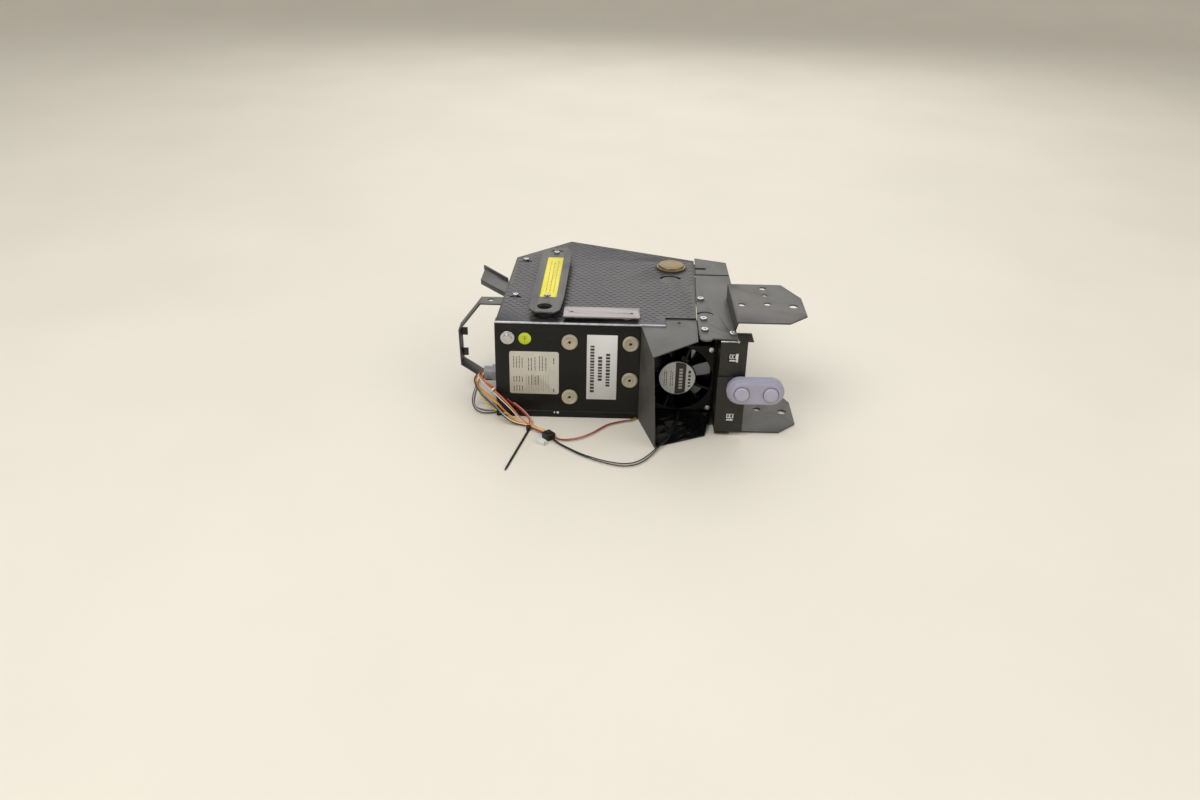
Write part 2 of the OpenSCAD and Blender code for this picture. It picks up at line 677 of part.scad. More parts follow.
// Stadium of the control's length and height, drawn in by d, from depth y0 to y1
module stadium(d, y0, y1) {
    half = (control_l - control_h) / 2;
    for (s = [-1, 1]) along_y(ctl_x + s * half, ctl_z, control_h / 2 - d, y0, y1);
    block([ctl_x - half, y0, ctl_z - control_h / 2 + d], [ctl_x + half, y1, ctl_z + control_h / 2 - d]);
}

module control_case() place() color("#9c9aa3") {
    difference() {
        union() {
            stadium(3.5, ctl_y, ctl_y + 4);
            stadium(1.6, ctl_y + 2.4, ctl_y + 7);
            stadium(0, ctl_y + 6, ctl_y + ctl_depth);
        }
        stadium(3.6 + ctl_wall, ctl_y + ctl_wall, ctl_y + 8);
        stadium(ctl_wall, ctl_y + 8, ctl_y + ctl_depth - ctl_wall);
        for (s = [-1, 1]) along_y(ctl_x + s * button_dx, ctl_z, button_r + 0.4, ctl_y - 1, ctl_y + 4);
    }
    block([294, ctl_y + ctl_depth, ctl_z - 9], [312, -40, ctl_z + 9]);
}

// Circuit board with a switch under each button
module control_board() place() color("#2f6a3c") {
    stadium(ctl_wall + 0.4, ctl_y + 11, ctl_y + 12.6);
    for (s = [-1, 1]) {
        block([ctl_x + s * button_dx - 3, ctl_y + 8.6, ctl_z - 3],
            [ctl_x + s * button_dx + 3, ctl_y + 11, ctl_z + 3]);
        along_y(ctl_x + s * button_dx, ctl_z, 1.6, ctl_y + 7.9, ctl_y + 8.6);
    }
}

// Push button on side s: cap, retaining flange and plunger
module button(s) {
    x = ctl_x + s * button_dx;
    along_y(x, ctl_z, button_r, ctl_y - 2.6, ctl_y + 3.2);
    along_y(x, ctl_z, button_r - 1.2, ctl_y - 3.2, ctl_y - 2.6);
    along_y(x, ctl_z, button_r + 1.3, ctl_y + ctl_wall + 0.3, ctl_y + 3.8);
    along_y(x, ctl_z, 2.4, ctl_y + 3.2, ctl_y + 7.8 - button_travel);
}

module button_left() place() color("#a5a3ac") button(-1);
module button_right() place() color("#a5a3ac") button(1);

// ---- leads ---------------------------------------------------------------------------

module cable_gland() place() color("#9b9aa0") difference() {
    union() {
        along_x(45, 40, 8, -2, 16);
        along_x(45, 40, 12, -1, 2);
        translate([-9, 45, 40]) rotate([0, 90, 0]) cylinder(r = 12, h = 8, $fn = 6);
        along_x(45, 40, 8.5, -20, -8);
    }
    along_x(45, 40, 3.9, -21, 17);
    difference() {
        along_x(45, 40, 20, 1.99, 4);
        along_x(45, 40, 8, 0, 5);
    }
}

module harness() place() color("#c98a3c") lead(harness_route, bundle_d);
module fan_leads() place() color("#1a1a1a") lead(fan_route, fan_lead_d);
module sense_leads() place() color("#a0402c") lead(sense_route, sense_lead_d);

// Two cable ties round the bundle, the second with its long tail on the bench
tie_at = [44, -31, 4];
module harness_ties() place() color("#141414") {
    translate(tie_at) rotate([0, 90, -30]) difference() {
        cylinder(r = bundle_d / 2 + 1.3, h = 2.6, center = true, $fn = 24);
        cylinder(r = bundle_d / 2 + 0.05, h = 4, center = true, $fn = 24);
        translate([3.9, -8, -4]) cube([8, 16, 8]);
    }
    translate([tie_at[0] - 2.2, tie_at[1] - 8.2, 0.1]) rotate([0, 0, -12]) cube([5, 4, 6]);
    translate([tie_at[0] - 0.6, tie_at[1] - 8, 0.1]) rotate([0, 0, -12])
        translate([0, -100, 0]) cube([2.6, 100, 1.2]);
}

module harness_connectors() place() color("#dcdcda") {
    translate([66, -52, 0.1]) rotate([0, 0, -48]) block([0, -6, 0], [14, 7, 9]);
    translate([60, -62, 0.1]) rotate([0, 0, -38]) block([0, -9, 0], [13, -1, 6]);
    translate([-22, 36, 0.1]) rotate([0, 0, -28]) block([0, -4, 0], [17, 3, 6]);
    translate([174, -9.6, 2.4]) rotate([0, 90, 40]) cylinder(r = 2, h = 11);
}

tank_shell();
tank_gasket();
tank_lid();
lead_lining();
tube_glass();
anode();
anode_target();
cathode_cup();
tube_saddles();
transformer_core();
primary_coil();
secondary_coil();
filament_transformer();
multiplier_board();
multiplier_parts();
expansion_bellows();
beam_window();
beam_flange();
filler_plug();
front_cover();
top_plate();
cover_standoffs();
cover_screws();
side_arm();
guard_strap();
strap_plate();
strap_grommet();
guide_bar();
bar_standoffs();
front_pads();
rating_label();
tube_label();
strap_label();
earth_sticker();
top_bracket();
rear_bracket();
fork_base();
fork_web();
fork_upper_ear();
front_plate();
lower_plate();
fan_shroud();
shroud_floor();
fan_frame();
fan_stator();
fan_bearings();
fan_label();
fan_impeller();
fan_magnet();
fan_shaft();
control_case();
control_board();
button_left();
button_right();
cable_gland();
harness();
fan_leads();
sense_leads();
harness_ties();
harness_connectors();
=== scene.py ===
"""Looks for the tube head of a panoramic dental X-ray unit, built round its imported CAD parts.

The file is laid out as an add-on and is run as a script. Shapes are worked out in millimetres from
the head's front left lower corner (x right, y back, z up), and at() moves them to the row frame.
"""
import json
from math import radians

import bmesh
import bpy
import numpy as np
from bpy.props import FloatProperty, FloatVectorProperty, IntProperty, PointerProperty
from mathutils import Matrix, Vector

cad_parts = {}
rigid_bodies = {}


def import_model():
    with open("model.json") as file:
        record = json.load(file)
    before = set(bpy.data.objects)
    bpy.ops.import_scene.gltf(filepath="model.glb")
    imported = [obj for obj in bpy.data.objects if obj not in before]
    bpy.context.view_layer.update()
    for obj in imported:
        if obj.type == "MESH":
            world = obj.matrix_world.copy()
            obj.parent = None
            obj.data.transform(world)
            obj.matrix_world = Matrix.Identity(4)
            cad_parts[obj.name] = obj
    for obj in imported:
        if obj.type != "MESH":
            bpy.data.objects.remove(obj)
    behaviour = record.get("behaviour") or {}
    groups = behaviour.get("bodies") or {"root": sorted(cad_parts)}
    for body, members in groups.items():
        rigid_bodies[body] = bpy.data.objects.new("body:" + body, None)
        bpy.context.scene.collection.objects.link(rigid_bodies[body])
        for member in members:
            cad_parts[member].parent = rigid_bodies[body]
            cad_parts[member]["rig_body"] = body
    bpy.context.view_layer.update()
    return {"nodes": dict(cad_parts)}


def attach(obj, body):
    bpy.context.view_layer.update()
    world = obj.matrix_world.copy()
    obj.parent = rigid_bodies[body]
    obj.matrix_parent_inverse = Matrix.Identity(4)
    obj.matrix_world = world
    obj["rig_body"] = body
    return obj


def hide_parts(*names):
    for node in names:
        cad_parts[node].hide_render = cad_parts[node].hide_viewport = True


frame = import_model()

bl_info = {
    "name": "Dental X-ray tube head",
    "version": (1, 0, 0),
    "blender": (4, 5, 0),
    "location": "3D View > Sidebar > Tube head",
    "description": "Finishes and fine parts of a dental X-ray tube head",
    "category": "Object",
}

# The head's front left lower corner, in millimetres of the row frame
CORNER = np.array([-129.0, -138.0, 0.0])
X, Y, Z = np.eye(3)
# Vertices nearer than this, in metres, become one
MERGE = 2e-6
# Faces that meet at a greater angle than this keep a sharp edge, or a rounded one
SHARP = radians(38)


def colour(hex_code):
    """Linear RGBA of an sRGB hex code such as #a0b0c0."""
    c = np.array([int(hex_code[i:i + 2], 16) for i in (1, 3, 5)]) / 255
    return (*np.where(c <= 0.04045, c / 12.92, ((c + 0.055) / 1.055) ** 2.4).tolist(), 1.0)


def at(points):
    """Millimetres from the head's front left lower corner, as metres in the row frame."""
    return (np.asarray(points, float) + CORNER) / 1000


# ---- sizes and colours a user would change -------------------------------------------

def measure(name, description, default, low, high):
    """A length property in metres."""
    return FloatProperty(name=name, description=description, default=default, min=low, max=high,
                         unit="LENGTH")


class HeadSizes(bpy.types.PropertyGroup):
    edge: measure("Edge radius", "Rounding of cut sheet edges", 0.0003, 0.0001, 0.001)
    tread_x: measure("Tread spacing", "Distance between raised marks along a row", 0.010, 0.006, 0.02)
    tread_y: measure("Tread row spacing", "Distance between rows of raised marks", 0.0062, 0.004, 0.02)
    tread_rise: measure("Tread height", "Height of the raised marks", 0.0007, 0.0002, 0.0015)
    wire: measure("Wire diameter", "Diameter of one wire of the bundle", 0.0015, 0.0008, 0.003)
    fan_wire: measure("Fan wire diameter", "Diameter of each fan wire", 0.0015, 0.0008, 0.003)
    sense_wire: measure("Sensor wire diameter", "Diameter of each sensor wire", 0.0012, 0.0008, 0.003)
    blades: IntProperty(name="Fan blades", description="Number of impeller blades",
                        default=7, min=5, max=9)


def tint(name, hex_code, description):
    """A colour property whose default is an sRGB hex code."""
    return FloatVectorProperty(name=name, description=description, subtype="COLOR", size=4,
                               min=0, max=1, default=colour(hex_code))


class HeadColours(bpy.types.PropertyGroup):
    box: tint("Box paint", "#0b0a09", "Black satin paint of the oil tank and its front cover")
    bracket: tint("Bracket paint", "#403f3d", "Grey paint of the brackets, fork, strap and shroud")
    # The tread grey is darker than the sheet's own grey, as painted shade between the marks; the mark tops
    # take it 8.5 times paler as a painted highlight
    tread: tint("Tread sheet", "#18171a", "Grey of the patterned top plate")
    plate: tint("Front plate paint", "#1d1c18", "Black-brown paint of the two front plates")
    bar: tint("Bar zinc", "#989293", "Bare zinc-plated guide bar")
    plug: tint("Plug brass", "#827151", "Dulled brass of the oil filler plug")
    pad: tint("Boss nylon", "#b3a891", "Aged nylon of the round cover bosses")
    control: tint("Control plastic", "#a3a1b2", "Lilac-grey plastic of the two-button control")
    fan: tint("Fan plastic", "#060606", "Black plastic of the fan")
    silver_label: tint("Rating label", "#c9c4b8", "Silvery paper of the rating and fan labels")
    white_label: tint("White label", "#dcdcda", "White paper label")
    yellow_label: tint("Yellow label", "#e9dc3e", "Yellow label on the strap plate")
    earth: tint("Earth sticker", "#bfd12f", "Yellow-green earth sticker")
    floor: tint("Floor", "#e6dfd0", "Plain pale floor")


# ---- surfaces ------------------------------------------------------------------------

def grid(points, around=False):
    """Vertices and quads of a surface given as points[i, j]: each point is joined to the next in i
    and the next in j, and where it goes all the way round the last j is joined to the first."""
    k = np.arange(points.shape[0] * points.shape[1]).reshape(points.shape[:2])
    if around:
        k = np.concatenate([k, k[:, :1]], 1)
    quads = np.stack([k[:-1, :-1], k[:-1, 1:], k[1:, 1:], k[1:, :-1]], -1).reshape(-1, 4)
    return points.reshape(-1, 3), quads


def loft(rings):
    """Closed skin through rings[i, j]: ring i joins ring i + 1, and each end ring is closed by
    lines to its own middle."""
    ends = [np.broadcast_to(r.mean(0), r.shape)[None] for r in (rings[0], rings[-1])]
    return grid(np.concatenate([ends[0], rings, ends[1]]), around=True)


def lathe(profile, origin, axis=Z, steps=64):
    """Body of revolution: point (r, h) of the profile goes round the axis as
    origin + r (u cos a + v sin a) + h axis, for a from 0 to a full turn."""
    profile = np.array(profile, float)
    u = np.cross(axis, X if abs(axis[0]) < 0.9 else Y)
    v = np.cross(axis, u)
    a = np.linspace(0, 2 * np.pi, steps, endpoint=False)[None, :, None]
    r, h = profile[:, 0, None, None], profile[:, 1, None, None]
    return loft(np.array(origin) + r * (u * np.cos(a) + v * np.sin(a)) + h * axis)


def joined(*parts):
    """Several parts as one, each part's face numbers raised by the vertices before it."""
    starts = np.cumsum([0] + [len(v) for v, _ in parts[:-1]])
    return np.concatenate([v for v, _ in parts]), np.concatenate([f + s for (_, f), s in zip(parts, starts)])


def copies(part, places):
    """The part repeated at each place, as one array sum of places and vertices."""
    verts, faces = part
    places = np.asarray(places, float)
    count = np.arange(len(places))[:, None, None] * len(verts)
    return (places[:, None] + verts[None]).reshape(-1, 3), (faces[None] + count).reshape(-1, 4)


def set_in(part, origin, x, y, z):
    """The part with its own x, y and z laid along three given directions from an origin."""
    return part[0] @ np.array([x, y, z], float) + np.array(origin, float), part[1]


def blocks(x, y, z):
    """Many small blocks at once: x, y and z are each a low and a high, as numbers or arrays, and
    corner (i, j, k) of a block takes the low where its index is 0 and the high where it is 1."""
    low, high = (np.stack(np.broadcast_arrays(*np.atleast_1d(*ends)), -1) for ends in zip(x, y, z))
    pick = np.array([[0, 0, 0], [1, 0, 0], [1, 1, 0], [0, 1, 0], [0, 0, 1], [1, 0, 1], [1, 1, 1], [0, 1, 1]])
    verts = low[:, None] + (high - low)[:, None] * pick[None]
    faces = np.array([[0, 3, 2, 1], [4, 5, 6, 7], [0, 1, 5, 4], [1, 2, 6, 5], [2, 3, 7, 6], [3, 0, 4, 7]])
    return verts.reshape(-1, 3), (faces[None] + 8 * np.arange(len(low))[:, None, None]).reshape(-1, 4)


def bearing(degrees):
    """Level direction at an angle from x."""
    return np.array([np.cos(np.radians(degrees)), np.sin(np.radians(degrees)), 0.0])


def turned(part, origin, degrees):
    """The part turned about z and moved to an origin."""
    ahead = bearing(degrees)
    return set_in(part, origin, ahead, np.cross(Z, ahead), Z)


def rounded_box(size, radius, steps=6):
    """Block of the given size about the origin with round upright edges and softened rims: a
    rectangle whose corners are quarter circles, carried up through four rings."""
    a = np.linspace(0, np.pi / 2, steps)
    rings = []
    soft = radius * 0.4
    for inset, h in ((soft, 0), (0, soft), (0, size[2] - soft), (soft, size[2])):
        r = radius - inset * 0.8
        corner = []
        for k, (sx, sy) in enumerate(((1, 1), (-1, 1), (-1, -1), (1, -1))):
            b = a + k * np.pi / 2
            corner.append(np.stack([sx * (size[0] / 2 - inset - r) + r * np.cos(b),
                                    sy * (size[1] / 2 - inset - r) + r * np.sin(b), np.full(steps, h)], -1))
        rings.append(np.concatenate(corner))
    return loft(np.array(rings))


def curve_through(points, steps=6):
    """Catmull-Rom curve: between points b and c, with a before and d after, the point at share u is
    half of 2b + (c - a)u + (2a - 5b + 4c - d)u^2 + (3b - a - 3c + d)u^3."""
    p = np.array(points, float)
    p = np.concatenate([2 * p[:1] - p[1:2], p, 2 * p[-1:] - p[-2:-1]])
    u = np.linspace(0, 1, steps, endpoint=False)[None, :, None]
    a, b, c, d = (p[i:len(p) - 3 + i, None] for i in range(4))
    curve = 0.5 * (2 * b + (c - a) * u + (2 * a - 5 * b + 4 * c - d) * u ** 2
                   + (3 * b - a - 3 * c + d) * u ** 3)
    return np.concatenate([curve.reshape(-1, 3), p[-2:-1]])


def across(path):
    """Two directions across a path at each point: level with the floor, and square to that."""
    run = np.gradient(path, axis=0)
    run /= np.linalg.norm(run, axis=1, keepdims=True)
    level = np.cross(run, Z)
    level /= np.maximum(np.linalg.norm(level, axis=1, keepdims=True), 1e-6)
    return level, np.cross(level, run)


# ---- pieces --------------------------------------------------------------------------

def shown(name, mesh, look, body, stands_for):
    """Puts a mesh in the scene as a piece with a named finish that rides on a body."""
    obj = bpy.data.objects.new(name, mesh)
    bpy.context.scene.collection.objects.link(obj)
    mesh.materials.clear()
    mesh.materials.append(finish(look))
    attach(obj, body)
    if stands_for:
        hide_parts(*stands_for)
    return obj


def piece(name, part, look, body="root", stands_for=()):
    """New piece from vertices and quads in millimetres, its seams and poles closed."""
    mesh = bpy.data.meshes.new(name)
    mesh.from_pydata(at(part[0]), [], part[1])
    bm = bmesh.new()
    bm.from_mesh(mesh)
    bmesh.ops.remove_doubles(bm, verts=bm.verts, dist=MERGE)
    bmesh.ops.recalc_face_normals(bm, faces=bm.faces)
    bm.to_mesh(mesh)
    bm.free()
    mesh.shade_smooth()
    mesh.set_sharp_from_angle(angle=SHARP)
    return shown(name, mesh, look, body, stands_for)


def dressed(node, look, edge=None, segments=2):
    """Copy of a CAD node, merged and with its edges rounded, that stands for the node."""
    source = frame["nodes"][node]
    bm = bmesh.new()
    bm.from_mesh(source.data)
    bmesh.ops.remove_doubles(bm, verts=bm.verts, dist=MERGE)
    bmesh.ops.dissolve_limit(bm, angle_limit=radians(0.6), verts=bm.verts, edges=bm.edges)
    mesh = bpy.data.meshes.new(node + "_finished")
    bm.to_mesh(mesh)
    bm.free()
    mesh.shade_smooth()
    obj = shown(node + "_finished", mesh, look, source["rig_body"], (node,))
    bevel = obj.modifiers.new("edges", "BEVEL")
    bevel.width = edge or bpy.context.scene.head_sizes.edge
    bevel.segments = segments
    bevel.limit_method = "ANGLE"
    bevel.angle_limit = SHARP
    bevel.use_clamp_overlap = False
    bevel.harden_normals = True


def coat(look, *nodes):
    """Gives CAD nodes a named finish."""
    for node in nodes:
        obj = frame["nodes"][node]
        obj.data.materials.clear()
        obj.data.materials.append(finish(look))


# ---- finishes ------------------------------------------------------------------------

def put(tree, kind, settings=None, links=None):
    """Adds one node: settings are its attributes or its inputs' values, and links feed its inputs,
    each from a node and one of that node's outputs."""
    node = tree.nodes.new(kind)
    for key, value in (settings or {}).items():
        if isinstance(key, str) and hasattr(node, key):
            setattr(node, key, value)
        else:
            node.inputs[key].default_value = value
    for key, (source, output) in (links or {}).items():
        tree.links.new(source.outputs[output], node.inputs[key])
    return node


# Pale film on what faces up: partly a workshop dusting and partly a painted sheen on the top faces
DUST_AND_SHEEN = "#a9a39a"


def scaled(c, share):
    """A colour made lighter or darker by a share."""
    return (*[min(1.0, x * share) for x in tuple(c)[:3]], 1.0)


def surface(name, base, rough, metallic, mottle, patch, grain, relief, stretch=(1, 1, 1), dust=0.0,
            **sockets):
    """A finish that starts from one colour. Noise with patches of patch mm makes it lighter and darker by the
    share mottle and moves its roughness between the two of rough, and finer noise of grain mm raises it by
    relief mm. stretch draws the noise out, as brushing does, and a pale film, partly a dusting and partly a
    painted sheen, is laid on what faces up."""
    mat = bpy.data.materials.new(name)
    mat.use_nodes = True
    tree = mat.node_tree
    shader = tree.nodes["Principled BSDF"]
    shader.inputs["Metallic"].default_value = metallic
    for key, value in sockets.items():
        shader.inputs[key.replace("_", " ").title().replace("Ior", "IOR")].default_value = value
    place = put(tree, "ShaderNodeTexCoord")
    drawn = put(tree, "ShaderNodeMapping", {"Scale": stretch}, {"Vector": (place, "Object")})
    cloud = put(tree, "ShaderNodeTexNoise", {"Scale": 1000 / patch, "Detail": 4.0}, {"Vector": (drawn, 0)})
    blend = put(tree, "ShaderNodeMapRange", {"From Min": 0.3, "From Max": 0.7}, {"Value": (cloud, 0)})
    mix = put(tree, "ShaderNodeMix", {"data_type": "RGBA", 6: scaled(base, 1 - mottle),
                                      7: scaled(base, 1 + mottle)}, {0: (blend, 0)})
    shade = (mix, 2)
    # Pale film on up-facing surfaces: partly a dusting, partly a painted sheen
    if dust:
        facing = put(tree, "ShaderNodeNewGeometry")
        up = put(tree, "ShaderNodeSeparateXYZ", links={0: (facing, "Normal")})
        film = put(tree, "ShaderNodeMapRange", {"From Min": 0.6, "From Max": 1.0, "To Max": dust},
                   {"Value": (up, 2)})
        part = put(tree, "ShaderNodeMath", {"operation": "MULTIPLY"}, {0: (film, 0), 1: (blend, 0)})
        over = put(tree, "ShaderNodeMix", {"data_type": "RGBA", 7: colour(DUST_AND_SHEEN)}, {0: (part, 0), 6: shade})
        shade = (over, 2)
    tree.links.new(shade[0].outputs[shade[1]], shader.inputs["Base Color"])
    sheen = put(tree, "ShaderNodeMapRange", {"From Min": 0.25, "From Max": 0.75, "To Min": rough[0],
                                             "To Max": rough[1]}, {"Value": (cloud, 0)})
    tree.links.new(sheen.outputs[0], shader.inputs["Roughness"])
    fine = put(tree, "ShaderNodeTexNoise", {"Scale": 1000 / grain, "Detail": 2.0}, {"Vector": (drawn, 0)})
    bump = put(tree, "ShaderNodeBump", {"Distance": relief / 1000, "Strength": 0.6}, {"Height": (fine, 0)})
    tree.links.new(bump.outputs[0], shader.inputs["Normal"])
    return mat


def banded(mat, pitch, dark, direction="X", relief=0.1):
    """Adds even ridges at a pitch in mm to a finish: windings, laminations or turning marks. A
    triangle wave darkens the hollows and raises the crests."""
    tree = mat.node_tree
    shader = tree.nodes["Principled BSDF"]
    place = next(n for n in tree.nodes if n.type == "TEX_COORD")
    wave = put(tree, "ShaderNodeTexWave", {"wave_type": "BANDS", "bands_direction": direction,
                                           "wave_profile": "TRI", "Scale": 1000 / pitch / 20},
               {"Vector": (place, "Object")})
    old = shader.inputs["Base Color"].links[0].from_socket
    shade = put(tree, "ShaderNodeMix", {"data_type": "RGBA", "blend_type": "MULTIPLY", 7: (dark,) * 3 + (1,)})
    turn = put(tree, "ShaderNodeMath", {"operation": "SUBTRACT", 0: 1.0}, {1: (wave, 1)})
    tree.links.new(turn.outputs[0], shade.inputs[0])
    tree.links.new(old, shade.inputs[6])
    tree.links.new(shade.outputs[2], shader.inputs["Base Color"])
    bump = put(tree, "ShaderNodeBump", {"Distance": relief / 1000}, {"Height": (wave, 1)})
    tree.links.new(shader.inputs["Normal"].links[0].from_socket, bump.inputs["Normal"])
    tree.links.new(bump.outputs[0], shader.inputs["Normal"])
    return mat


_made = {}


def finish(name):
    """The named finish, made the first time that it is asked for."""
    if name not in _made:
        title, base, rough, metallic, mottle, patch, grain, relief, *rest = FINISHES[name]
        more = dict(rest[0]) if rest else {}
        share, bands = more.pop("share", 1), more.pop("bands", None)
        base = colour(base) if base[0] == "#" else getattr(bpy.context.scene.head_colours, base)
        mat = surface(title, scaled(base, share), rough, metallic, mottle, patch, grain, relief, **more)
        _made[name] = banded(mat, *bands) if bands else mat
    return _made[name]


